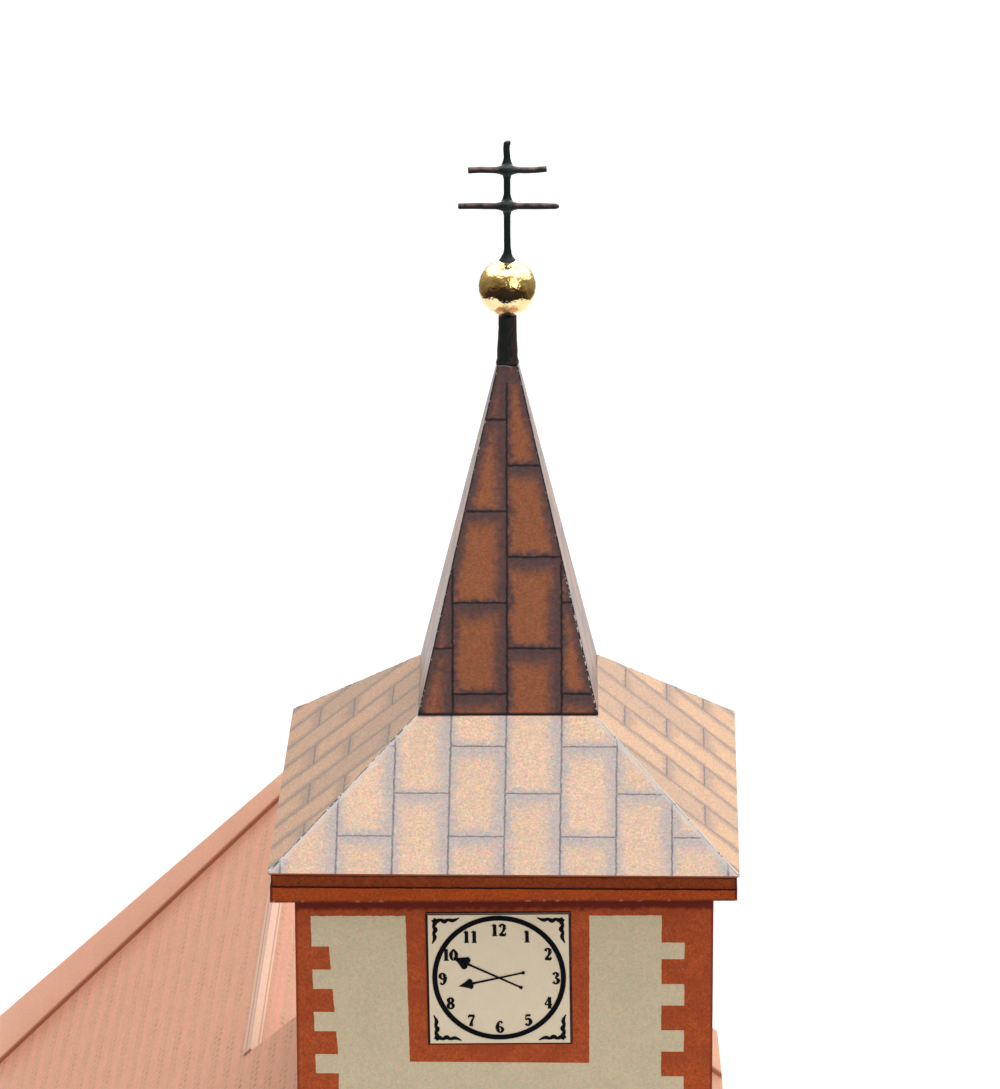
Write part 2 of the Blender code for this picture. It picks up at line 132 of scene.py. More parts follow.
# Camera, as it stood before the model, with its focal length first in the photo's pixels
FOCAL_PIXELS = 6366.91
PHOTO_HEIGHT = 1089
CAMERA_PLACE = (0.013005, -0.546662, 0.310502)
CAMERA_PITCH = math.radians(18.848)
CAMERA_YAW = math.radians(-1.439)
CAMERA_ROLL = math.radians(-0.178)
CAMERA_SENSOR = 36.0
CAMERA_LENS = FOCAL_PIXELS / PHOTO_HEIGHT * CAMERA_SENSOR


def linear(red, green, blue):
    """A print colour given as 0 to 255, as the linear values that a finish mixes."""
    return tuple(((c / 255 + 0.055) / 1.055) ** 2.4 for c in (red, green, blue))


def length(name, default, description):
    """A size that the panel lists, in metres."""
    return FloatProperty(
        name=name, description=description, default=default, min=0.0, precision=5, unit="LENGTH"
    )


def tint(name, red, green, blue, description):
    """A printed colour that the panel lists, given as 0 to 255."""
    return FloatVectorProperty(
        name=name,
        description=description,
        default=linear(red, green, blue),
        min=0.0,
        max=1.0,
        subtype="COLOR",
    )


class ChurchSizes(PropertyGroup):
    """Sizes of what is printed, inked and glued on the cards."""

    slab_width: length("Slab width", 0.004985, "Width of a slab on the tower's lower roof")
    slab_length: length("Slab length", 0.00935, "Length of a slab, down the slope")
    sheet_width: length("Sheet width", 0.00491, "Width of a copper sheet on the spire")
    sheet_length: length("Sheet length", 0.00827, "Length of a copper sheet, down the slope")
    course: length("Tile course", 0.0023, "Height of one course of printed tiles")
    tile: length("Tile width", 0.00135, "Width of one printed tile")
    quoin_left: length("Left quoin course", 0.00412, "Height of a pair of quoins on the left")
    quoin_right: length("Right quoin course", 0.0045, "Height of a pair of quoins on the right")
    dial_radius: length("Dial radius", 0.006, "Outer radius of the ring round the dial")
    dial_ring: length("Ring width", 0.00046, "Width of the ring round the dial")
    numeral_height: length("Numeral height", 0.00116, "Height of the numerals on the dial")
    ink: length("Ink thickness", 0.00004, "How far ink and thin trim stand off the card")
    frame: length("Frame width", 0.0009, "Width of the card frame round a window")
    bar: length("Bar width", 0.0003, "Width of a glazing bar")
    strip: length("Strip thickness", 0.00008, "Thickness of the strip on the cornice")
    minute_angle: FloatProperty(
        name="Minute hand", description="From twelve, clockwise", default=5.1644, unit="ROTATION"
    )
    hour_angle: FloatProperty(
        name="Hour hand", description="From twelve, clockwise", default=4.496, unit="ROTATION"
    )


class ChurchColours(PropertyGroup):
    """Inks, card and metal."""

    cream: tint("Cream", 218, 202, 170, "Plaster of the walls")
    brick: tint("Brick red", 184, 82, 36, "Quoins, bands and frames")
    # Painted shade, not print: the cornice's shadow on the walls below it, and the shade on the
    # cornice's underside
    brick_shadow: tint("Painted shadow", 119, 31, 7, "Shadow painted under the cornice")
    cornice: tint("Cornice", 142, 58, 12, "Upper part of the cornice")
    # Painted sheen: the slab colours are the print made pale by glare, and the edge colour is its
    # darker ink made lilac grey by it
    slab: tint("Slab", 232, 196, 167, "Middle of a slab on the lower roof")
    slab_haze: tint("Slab edge", 186, 177, 176, "Darker ink along the slab joints, paled by a painted sheen")
    slab_joint: tint("Slab joint", 106, 104, 110, "Lines between slabs")
    sheet: tint("Copper sheet", 168, 98, 60, "Middle of a sheet on the spire")
    sheet_haze: tint("Sheet edge", 78, 64, 74, "Darker ink along the sheet joints")
    sheet_joint: tint("Sheet joint", 26, 20, 26, "Lines between the sheets")
    tile: tint("Tile", 227, 161, 136, "Tiles of the nave's roof")
    tile_dash: tint("Tile shadow", 156, 104, 82, "Small shadows between the tiles")
    parapet: tint("Parapet", 255, 214, 190, "Sides of the gables above the roof")
    # Painted shadow: the dark line where the roof meets a gable, also put on the undersides of the
    # lower roof
    verge: tint("Verge", 166, 86, 56, "Dark line where the roof meets the gable")
    card: tint("Bare card", 238, 234, 226, "Card without print")
    ink: tint("Ink", 8, 9, 20, "Dial, numerals and hands")
    glass: tint("Glass", 40, 48, 62, "Printed window panes")
    door: tint("Door", 92, 52, 28, "Boards of the door")
    wood: tint("Stained wood", 30, 38, 36, "The stick under the ball")
    wire: tint("Wire", 28, 38, 42, "The cross")
    gilt: tint("Gilt", 255, 228, 176, "The ball")


class Value:
    """A socket's value over a surface. Sums on it add Math nodes to its finish."""

    def __init__(self, finish, socket):
        self.finish = finish
        self.socket = socket

    def __add__(self, other):
        return self.finish.number("ADD", self, other)

    def __sub__(self, other):
        return self.finish.number("SUBTRACT", self, other)

    def __rsub__(self, other):
        return self.finish.number("SUBTRACT", other, self)

    def __mul__(self, other):
        return self.finish.number("MULTIPLY", self, other)

    def __truediv__(self, other):
        return self.finish.number("DIVIDE", self, other)

    def __mod__(self, other):
        return self.finish.number("FLOORED_MODULO", self, other)

    def __lt__(self, other):
        return self.finish.number("LESS_THAN", self, other)

    def __gt__(self, other):
        return self.finish.number("GREATER_THAN", self, other)

    def __abs__(self):
        return self.finish.number("ABSOLUTE", self, 0.0)

    __radd__ = __add__
    __rmul__ = __mul__


class Finish:
    """The nodes of one material. Its places are millimetres in the model's own frame.

    A share is 0 to 1. The surface faces to the right by across, to the back by back, and up
    by up, each from -1 to 1.
    """

    def __init__(self, name, roughness, specular=0.35, metallic=0.0):
        self.material = bpy.data.materials.new(name)
        self.material.use_nodes = True
        self.tree = self.material.node_tree
        self.shader = self.tree.nodes["Principled BSDF"]
        self.shader.inputs["Roughness"].default_value = roughness
        self.shader.inputs["Specular IOR Level"].default_value = specular
        self.shader.inputs["Metallic"].default_value = metallic
        spot = self.node("TexCoord", output="Object")
        self.place = self.node("VectorMath", {"operation": "SCALE"}, {0: spot, "Scale": 1 / MM})
        self.x, self.y, self.z = self.split(self.place)
        self.across, self.back, self.up = self.split(self.node("NewGeometry", output="Normal"))

    def node(self, kind, settings=None, values=None, output=0):
        """Adds a node. Its settings come first, then the value or link of each socket."""
        made = self.tree.nodes.new("ShaderNode" + kind)
        for name, setting in (settings or {}).items():
            setattr(made, name, setting)
        for name, value in (values or {}).items():
            self.feed(made.inputs[name], value)
        return Value(self, made.outputs[output])

    def feed(self, socket, value):
        """Links a value to a socket, or sets it there."""
        if isinstance(value, Value):
            self.tree.links.new(value.socket, socket)
        elif socket.type == "RGBA":
            socket.default_value = (*value, 1.0)
        else:
            socket.default_value = value

    def split(self, vector):
        """The three parts of a vector."""
        first = self.node("SeparateXYZ", values={0: vector})
        return [Value(self, socket) for socket in first.socket.node.outputs]

    def number(self, operation, first, second=0.0):
        return self.node("Math", {"operation": operation}, {0: first, 1: second})

    def most(self, first, *others):
        for other in others:
            first = self.number("MAXIMUM", first, other)
        return first

    def least(self, first, *others):
        for other in others:
            first = self.number("MINIMUM", first, other)
        return first

    def between(self, value, low, high):
        return (value > low) * (value < high)

    def every(self, value, first, period, height):
        """1 in each stretch of this height. The stretches start at first and repeat."""
        return ((value - first) % period) < height

    def fade(self, value, start, end):
        """1 up to start, and smoothly down to 0 at end."""
        return self.node(
            "MapRange",
            {"interpolation_type": "SMOOTHSTEP"},
            {"Value": value, "From Min": start, "From Max": end, "To Min": 1.0, "To Max": 0.0},
        )

    def to_line(self, value, period):
        """Distance to the nearest of the lines that repeat at each period."""
        return abs((value + period / 2) % period - period / 2)

    def noise(self, size, detail, place=None, distortion=0.0):
        """Cloudy grain of about this size in millimetres, from 0 to 1."""
        values = {"Scale": 1 / size, "Detail": detail, "Distortion": distortion}
        return self.node("TexNoise", values={"Vector": place or self.place, **values})

    def wander(self, size, width, detail=2.0):
        """Noise that wanders about 0, over this width in all."""
        return (self.noise(size, detail) - 0.5) * width

    def chance(self, *numbers):
        """A random value from 0 to 1 that is the same wherever the numbers are."""
        axes = dict(zip(("X", "Y", "Z"), numbers))
        return self.node("TexWhiteNoise", values={"Vector": self.node("CombineXYZ", values=axes)})

    def stretched(self, x, y, z):
        """The place on the model, with each axis scaled."""
        stretch = {"operation": "MULTIPLY"}
        return self.node("VectorMath", stretch, {0: self.place, 1: (x, y, z)})

    def mix(self, share, first, second):
        """The first colour where the share is 0, and the second where it is 1."""
        return self.node("Mix", {"data_type": "RGBA"}, {0: share, 6: first, 7: second}, 2)

    def shaded(self, colour, value):
        """A colour made brighter or darker by a value that varies."""
        return self.node("VectorMath", {"operation": "SCALE"}, {0: colour, "Scale": value})

    def cover(self, colour, roughness=None, height=None, depth=0.02):
        """Joins colour, roughness and a bump, whose depth is in millimetres, to the shader."""
        self.feed(self.shader.inputs["Base Color"], colour)
        if roughness is not None:
            self.feed(self.shader.inputs["Roughness"], roughness)
        if height is not None:
            values = {"Height": height, "Distance": depth * MM, "Strength": 1.0}
            self.feed(self.shader.inputs["Normal"], self.node("Bump", values=values))
        return self.material

    def along_and_out(self):
        """How far a place is along its side of the tower, and how far out from the axis."""
        flat = self.number("SQRT", self.across * self.across + self.back * self.back)
        along = (self.across * self.y - self.back * self.x) / flat
        out = (self.across * self.x + self.back * self.y) / flat
        return along, out

    def speckled(self, colour, size, amount):
        """The dots of a colour print: each ink comes out stronger or weaker by about this share."""
        dots = {"Vector": self.place, "Scale": 1 / size, "Detail": 1.0}
        dots = self.node("TexNoise", values=dots, output="Color")
        spread = {0: dots, 1: (6 * amount,) * 3, 2: (1 - 3 * amount,) * 3}
        spread = self.node("VectorMath", {"operation": "MULTIPLY_ADD"}, spread)
        return self.node("VectorMath", {"operation": "MULTIPLY"}, {0: colour, 1: spread})

    def slabs(self, along, up, width, height, first, shift):
        """How far a place is from its slab's edges, and a random value for the slab.

        The edges are the left, right, lower and upper one. The columns start at first, and
        every other one is shifted along the slope.
        """
        column = self.number("FLOOR", (along - first) / width)
        shifted = up + (column % 2) * shift
        row = self.number("FLOOR", shifted / height)
        left = (along - first) % width
        low = shifted % height
        return (left, width - left, low, height - low), self.chance(column, row)

    def worn_edges(self, edges, ragged, reaches):
        """1 along the edges of a slab, faded inwards over a reach for each edge."""
        fades = [self.fade(edge + ragged, *reach) for edge, reach in zip(edges, reaches)]
        return self.most(*fades)


def take(piece):
    """Selects one piece alone, because an operator acts on all that is selected."""
    bpy.ops.object.select_all(action="DESELECT")
    piece.select_set(True)
    bpy.context.view_layer.objects.active = piece


def added(add, **settings):
    """The new piece that an add operator makes, with nothing else selected."""
    bpy.ops.object.select_all(action="DESELECT")
    add(**settings)
    return bpy.context.view_layer.objects.active


def apply_place():
    """Puts the selected piece's place, turn and scale into its mesh."""
    bpy.ops.object.transform_apply(location=True, rotation=True, scale=True)


def as_mesh(curve):
    """A curve turned into a mesh."""
    take(curve)
    bpy.ops.object.convert(target="MESH")
    return bpy.context.view_layer.objects.active


def edit(piece, chosen=None):
    """Opens a piece's mesh with the faces selected whose centre and normal pass the test."""
    take(piece)
    bpy.context.tool_settings.mesh_select_mode = (False, False, True)
    if chosen is not None:
        for face in piece.data.polygons:
            face.select = chosen(face.center, face.normal)
    bpy.ops.object.mode_set(mode="EDIT")


def close_edit():
    bpy.ops.object.mode_set(mode="OBJECT")


def settle(piece, name, finish):
    """A finished piece is a mesh at the origin, with its place in it, riding on the model."""
    take(piece)
    for modifier in list(piece.modifiers):
        bpy.ops.object.modifier_apply(modifier=modifier.name)
    apply_place()
    piece.name = name
    piece.data.name = name
    piece.data.materials.clear()
    piece.data.materials.append(finish)
    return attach(piece, "root")


def copy_to(piece, name, turn, shift):
    """A copy of a settled piece with its own mesh, shifted and then turned about the tower."""
    take(piece)
    bpy.ops.object.duplicate()
    copy = bpy.context.view_layer.objects.active
    copy.location = Matrix.Rotation(turn, 4, "Z") @ shift
    copy.rotation_euler = (0, 0, turn)
    apply_place()
    copy.name = name
    copy.data.name = name
    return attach(copy, "root")


def stand_on(piece, side, along, outward, height):
    """Stands a flat piece upright on a side, outward being its back's distance from the axis."""
    turn = SIDES.index(side) * math.pi / 2
    piece.location = Matrix.Rotation(turn, 4, "Z") @ Vector((along, -outward, height))
    piece.rotation_euler = (math.pi / 2, 0, turn)


def recalculate(piece):
    """Joins the points that lie on each other, and faces the surface outwards."""
    edit(piece)
    bpy.ops.mesh.select_all(action="SELECT")
    bpy.ops.mesh.remove_doubles(threshold=1e-7)
    bpy.ops.mesh.normals_make_consistent(inside=False)
    close_edit()


def smooth(piece, angle):
    """Shades a piece smoothly, up to an angle in degrees."""
    take(piece)
    bpy.ops.object.shade_smooth_by_angle(angle=math.radians(angle))


def raise_rim(piece, width, height):
    """Keeps only the rim of a flat piece, and raises it."""
    edit(piece)
    bpy.ops.mesh.select_all(action="SELECT")
    bpy.ops.mesh.inset(thickness=width)
    bpy.ops.mesh.delete(type="FACE")
    bpy.ops.mesh.select_all(action="SELECT")
    bpy.ops.mesh.extrude_region_move(TRANSFORM_OT_translate={"value": (0, 0, height)})
    bpy.ops.mesh.select_all(action="DESELECT")
    close_edit()


def cut_card(outlines, thickness, edge):
    """A flat card in XY, its back on z = 0. The first outline is its edge, the others holes."""
    card = added(bpy.ops.curve.primitive_bezier_circle_add, radius=1.0)
    curve = card.data
    curve.splines.clear()
    curve.dimensions = "2D"
    curve.fill_mode = "BOTH"
    curve.extrude = thickness / 2 - edge
    curve.bevel_depth = edge
    curve.bevel_resolution = 1
    for outline in outlines:
        spline = curve.splines.new("POLY")
        spline.points.add(len(outline) - 1)
        for knot, (x, y) in zip(spline.points, outline):
            knot.co = (x, y, 0, 1)
        spline.use_cyclic_u = True
    card = as_mesh(card)
    card.location = (0, 0, thickness / 2)
    apply_place()
    recalculate(card)
    return card


def glue_card(name, outlines, thickness, place, finish, edge=0.0):
    """Cuts a card and stands it on the model. Its place is a side, along, outward and height."""
    card = cut_card(outlines, thickness, edge)
    stand_on(card, *place)
    return settle(card, name, finish)


def drawn(strokes, flat=1.0, sides=2, steps=4, closed=False):
    """Strokes of a round pen in millimetres, each a list of (x, y, z, half width)."""
    line = added(bpy.ops.curve.primitive_bezier_curve_add, radius=1.0)
    curve = line.data
    curve.splines.clear()
    curve.dimensions = "3D"
    curve.bevel_depth = 1.0
    curve.bevel_resolution = sides
    curve.resolution_u = steps
    curve.use_fill_caps = True
    for stroke in strokes:
        spline = curve.splines.new("BEZIER")
        spline.bezier_points.add(len(stroke) - 1)
        for knot, (x, y, z, half) in zip(spline.bezier_points, stroke):
            knot.co = (x, y, z)
            knot.radius = half
            knot.handle_left_type = "AUTO"
            knot.handle_right_type = "AUTO"
        spline.use_cyclic_u = closed
    line = as_mesh(line)
    line.scale = (MM, MM, MM * flat)
    apply_place()
    return line


def coat(finish, *nodes):
    """Gives packed cards their finish."""
    for node in nodes:
        for slot in frame["nodes"][node].material_slots:
            slot.material = finish


def round_outline(radius, centre=(0.0, 0.0), steps=16):
    """Points on a circle."""
    angles = [2 * math.pi * step / steps for step in range(steps)]
    x, y = centre
    return [(x + radius * math.cos(angle), y + radius * math.sin(angle)) for angle in angles]


def round_head(radius, height, last, steps, side=1):
    """Points of a round head from its right end up to an angle, or mirrored from its left end."""
    angles = [last * step / steps for step in range(steps + 1)]
    return [(side * radius * math.cos(a), height + radius * math.sin(a)) for a in angles]


def box_outline(left, low, right, high):
    return [(left, low), (right, low), (right, high), (left, high)]


def arch(half, low, spring, steps=14):
    """Outline of an opening with a round head, half wide to each side."""
    return [(-half, low), (half, low), *round_head(half, spring, math.pi, steps)]


def toned(colour, red, green, blue):
    """A colour with each part brought up or down by a share, for a fixed tone of an ink."""
    return tuple(min(c * f, 1.0) for c, f in zip(colour, (red, green, blue)))


def brick_and_cream(finish, colours, mask):
    """Printed plaster where the mask is 0 and brick red where it is 1, both finely speckled."""
    coarse = finish.noise(2.6, 3.0)
    streak = finish.noise(0.5, 2.0)
    grain = finish.noise(0.2, 2.0)
    tone = 1 + (coarse - 0.5) * 0.12 + (streak - 0.5) * 0.1 + (grain - 0.5) * 0.14
    cream = finish.speckled(finish.shaded(colours.cream, tone), 0.2, 0.07)
    brick = finish.shaded(colours.brick, 1 + (streak - 0.5) * 0.5 + (grain - 0.5) * 1.0)
    deep = toned(colours.brick, 0.8, 0.7, 0.8)
    brick = finish.mix(finish.fade(coarse, 0.35, 0.6) * 0.6, brick, deep)
    brick = finish.speckled(brick, 0.17, 0.14)
    return finish.mix(mask, cream, brick), streak


# Print on the tower's walls, in millimetres: along from the middle, and down from the eaves
QUOIN_LEFT_EDGE = -17.12
QUOIN_RIGHT_EDGE = 16.15
QUOIN_REACH = 2.05
FIRST_QUOIN_LEFT = 7.93
FIRST_QUOIN_RIGHT = 8.94
QUOIN_LEFT_HEIGHT = 2.25
QUOIN_RIGHT_HEIGHT = 2.42
TOP_QUOIN_DEPTH = 7.34
BAND_DEPTH = 4.85
BAND_SKEW = 0.009
DIAL_FRAME_LEFT = -8.62
DIAL_FRAME_RIGHT = 7.64
DIAL_FRAME_DEPTH = 19.1
# Where the cornice's shadow, painted on the wall below it, starts to fade and where it ends
SHADOW_DEPTH = 3.95
SHADOW_END = 4.5
# Print on the walls, in millimetres up from the ground
MIDDLE_BAND = (63.0, 64.8)
TOWER_PLINTH = 6.0
NAVE_PLINTH = 4.0
# How much paler the cream of a dial is than the cream of the walls
DIAL_CREAM = (1.26, 1.29, 1.42)


def tower_quoins(finish, sizes, along, below, lean):
    """Quoins at both edges of a wall. The teeth on the left are shorter near the eaves."""
    left_course = sizes.quoin_left / MM
    right_course = sizes.quoin_right / MM
    tooth_left = finish.every(below, FIRST_QUOIN_LEFT, left_course, QUOIN_LEFT_HEIGHT)
    tooth_left = tooth_left * (below > FIRST_QUOIN_LEFT)
    tooth_right = finish.every(below, FIRST_QUOIN_RIGHT, right_course, QUOIN_RIGHT_HEIGHT)
    tooth_right = finish.most(tooth_right, below < TOP_QUOIN_DEPTH)
    reach_left = finish.least((below - 9) * 0.05 + 1.6, QUOIN_REACH)
    left = along < (tooth_left * reach_left + lean + QUOIN_LEFT_EDGE)
    right = along > (QUOIN_RIGHT_EDGE - tooth_right * QUOIN_REACH)
    return finish.most(left, right)


def tower_wall_finish(sizes, colours):
    """Quoins at both edges, a frame round the dial, and plain bands, on printed plaster, with the
    cornice's shadow painted on the wall below it.
    """
    finish = Finish("printed tower wall", 0.62, specular=0.25)
    along, _ = finish.along_and_out()
    below = EAVES_Z / MM - finish.z
    wobble = finish.wander(0.5, 0.12)
    wavy = along + wobble
    # The left half of the print leans out a little towards the eaves
    lean = finish.least((below - 5) * 0.02 - 0.2, 0.1)
    quoins = tower_quoins(finish, sizes, wavy, below, lean)
    top_band = (below + wobble) < (BAND_DEPTH - finish.x * BAND_SKEW)
    dial_frame = finish.between(wavy, lean + DIAL_FRAME_LEFT, DIAL_FRAME_RIGHT)
    dial_frame = dial_frame * (below < DIAL_FRAME_DEPTH)
    middle_band = finish.between(finish.z, *MIDDLE_BAND)
    brick = finish.most(quoins, top_band, dial_frame, middle_band, finish.z < TOWER_PLINTH)
    colour, grain = brick_and_cream(finish, colours, brick)
    flat_dial, line = dial_card_print(finish, along, finish.back > -0.5)
    colour = finish.mix(flat_dial, colour, toned(colours.cream, *DIAL_CREAM))
    colour = finish.mix(line, colour, colours.ink)
    panel_line = dial_card_outline(finish, along) * (finish.back < -0.5)
    colour = finish.mix(panel_line * 0.9, colour, colours.ink)
    # Painted shadow: the wall is darkened just under the cornice, where its shade falls
    shadow_depth = below + wobble * 5 + finish.x * CORNICE_SKEW
    painted_cornice_shadow = finish.fade(shadow_depth, SHADOW_DEPTH, SHADOW_END)
    colour = finish.mix(painted_cornice_shadow, colour, colours.brick_shadow)
    corner = finish.fade(TOWER_HALF / MM - abs(along), 0.1, 0.3)
    colour = finish.mix(corner * 0.6, colour, toned(colours.brick_shadow, 1.0, 1.0, 2.6))
    colour = finish.mix(abs(finish.up) > 0.5, colour, colours.card)
    return finish.cover(colour, height=grain, depth=0.01)


def inside_dial_card(finish, along):
    """How far inside the edge of a dial's crooked square of card a place is."""
    beside = along - PANEL_MIDDLE.x / MM
    above = finish.z - PANEL_MIDDLE.z / MM
    tilted = beside * math.cos(PANEL_TILT) + above * math.sin(PANEL_TILT)
    raised = above * math.cos(PANEL_TILT) - beside * math.sin(PANEL_TILT)
    from_side = PANEL_WIDTH / 2 / MM - abs(tilted)
    from_end = PANEL_HEIGHT / 2 / MM - abs(raised)
    return finish.least(from_side, from_end)


def dial_card_print(finish, along, shown):
    """Where a dial's square of card is, and the thin line just inside its edge."""
    inside = inside_dial_card(finish, along)
    card = (inside > 0.0) * shown
    return card, card * finish.fade(inside, 0.07, 0.13)


def dial_card_outline(finish, along):
    """The thin line that shows on the wall round the glued panel."""
    return finish.fade(abs(inside_dial_card(finish, along)), 0.09, 0.17)


def nave_wall_finish(name, sizes, colours, left, right, gable=None):
    """A nave wall between two upright edges, given along its side in millimetres.

    A gable is 1 at the front and -1 at the back.
    """
    finish = Finish(name, 0.62, specular=0.35)
    along, _ = finish.along_and_out()
    z = finish.z
    first_quoin = 5.0
    left_height = 2.2
    right_height = 2.4
    narrow = 1.6
    reach = 1.9
    band_depths = (2.4, 0.6)
    verge_width = 2.2
    tooth_left = finish.every(z, first_quoin, sizes.quoin_left / MM, left_height)
    tooth_right = finish.every(z, first_quoin, sizes.quoin_right / MM, right_height)
    eaves = NAVE_EAVES_Z / MM
    left_edge = along < (tooth_left * reach + left + narrow)
    right_edge = along > (right - narrow - tooth_right * reach)
    corners = finish.most(left_edge, right_edge) * (z < eaves)
    band = finish.between(z, *[eaves - depth for depth in band_depths])
    brick = finish.most(corners, band, z < NAVE_PLINTH)
    if gable is not None:
        verge = (gable_top(finish, gable) - z) < verge_width
        brick = finish.most(brick, verge)
    colour, grain = brick_and_cream(finish, colours, brick)
    if gable is not None:
        colour = parapet_side(finish, colours, colour, gable)
    rim = abs(finish.up) > 0.3
    colour = finish.mix(rim, colour, colours.tile)
    return finish.cover(colour, height=grain, depth=0.01)


def fall_from_ridge(finish, left_slope, right_slope, inward):
    """How far a line of the roof is below the ridge. At the front it rises on to the tower."""
    from_ridge = finish.x - RIDGE_X / MM
    fall = from_ridge * -left_slope
    return fall if inward > 0 else finish.most(fall, from_ridge * right_slope)


def gable_top(finish, inward):
    """Height of the gable's upper edge over each place, in millimetres."""
    peak = (RIDGE_Z + PARAPET_AT_RIDGE) / MM
    drop = peak - (NAVE_EAVES_Z + PARAPET_AT_EAVES) / MM
    left_slope = drop / ((RIDGE_X - NAVE_EDGE_LEFT) / MM)
    right_slope = drop / ((GABLE_TOP_RIGHT - RIDGE_X) / MM)
    return peak - fall_from_ridge(finish, left_slope, right_slope, inward)


def parapet_side(finish, colours, colour, inward):
    """The side of a gable that faces the roof: tile pink, with a dark line painted along the roof as
    shade where the roof meets it.
    """
    inner = (finish.back * inward) > 0.5
    fall = fall_from_ridge(finish, math.tan(LEFT_PITCH), math.tan(RIGHT_PITCH), inward)
    over_roof = finish.z - RIDGE_Z / MM + fall
    cloud = finish.noise(3.0, 3.0)
    pink = finish.shaded(colours.parapet, 0.99 + cloud * 0.14)
    # Painted shadow along the foot of the gable's side, where the roof meets it
    line = finish.fade(over_roof, 0.35, 0.95)
    pink = finish.mix(line * 0.9, finish.speckled(pink, 0.2, 0.05), colours.verge)
    return finish.mix(inner, colour, pink)


def cornice_finish(colours):
    """Two shades of brick red with a thin dark line between, rubbed along the lower edge. Shade is
    painted along the top under the eaves, along the lower edge and on the underside.
    """
    finish = Finish("printed cornice", 0.55, specular=0.25)
    along, _ = finish.along_and_out()
    wave = finish.wander(1.5, 0.16)
    below = EAVES_Z / MM - finish.z + wave
    line_depth = 1.4
    cloud = finish.noise(0.9, 3.0, finish.stretched(0.4, 0.4, 1.0))
    lower = toned(colours.cornice, 1.5, 1.45, 1.3)
    upper_strip = finish.fade(below, line_depth - 0.1, line_depth + 0.15)
    colour = finish.mix(upper_strip, lower, colours.cornice)
    grain = finish.noise(0.2, 2.0)
    shade = 1 + (cloud - 0.5) * 0.5 + (grain - 0.5) * 1.3
    colour = finish.speckled(finish.shaded(colour, shade), 0.18, 0.13)
    line = finish.fade(abs(below - line_depth), 0.03, 0.09) * (0.6 + cloud * 0.6)
    # Painted shadow: a dark band along the top, under the eaves of the roof
    top = finish.fade(below, 0.3, 0.45)
    end = finish.fade(CORNICE_HALF / MM - abs(along), 0.06, 0.22) * 0.7
    edge = finish.z - CORNICE_LOW / MM - (finish.x * CORNICE_SKEW)
    # Painted shade: darker along the rounded lower edge
    foot = finish.fade(edge, 0.08, 0.25) * cloud
    fleck = finish.fade(edge, 0.1, 0.3) * (finish.noise(0.7, 3.0) > 0.6)
    dark = finish.most(line, top * 0.9, end, foot)
    colour = finish.mix(dark, colour, toned(colours.ink, 3.0, 1.0, 0.6))
    colour = finish.mix(fleck * 0.5, colour, toned(colours.slab, 0.75, 0.35, 0.3))
    # Painted shade on the underside of the cornice
    colour = finish.mix(finish.up < -0.5, colour, colours.brick_shadow)
    return finish.cover(colour, height=cloud, depth=0.01)


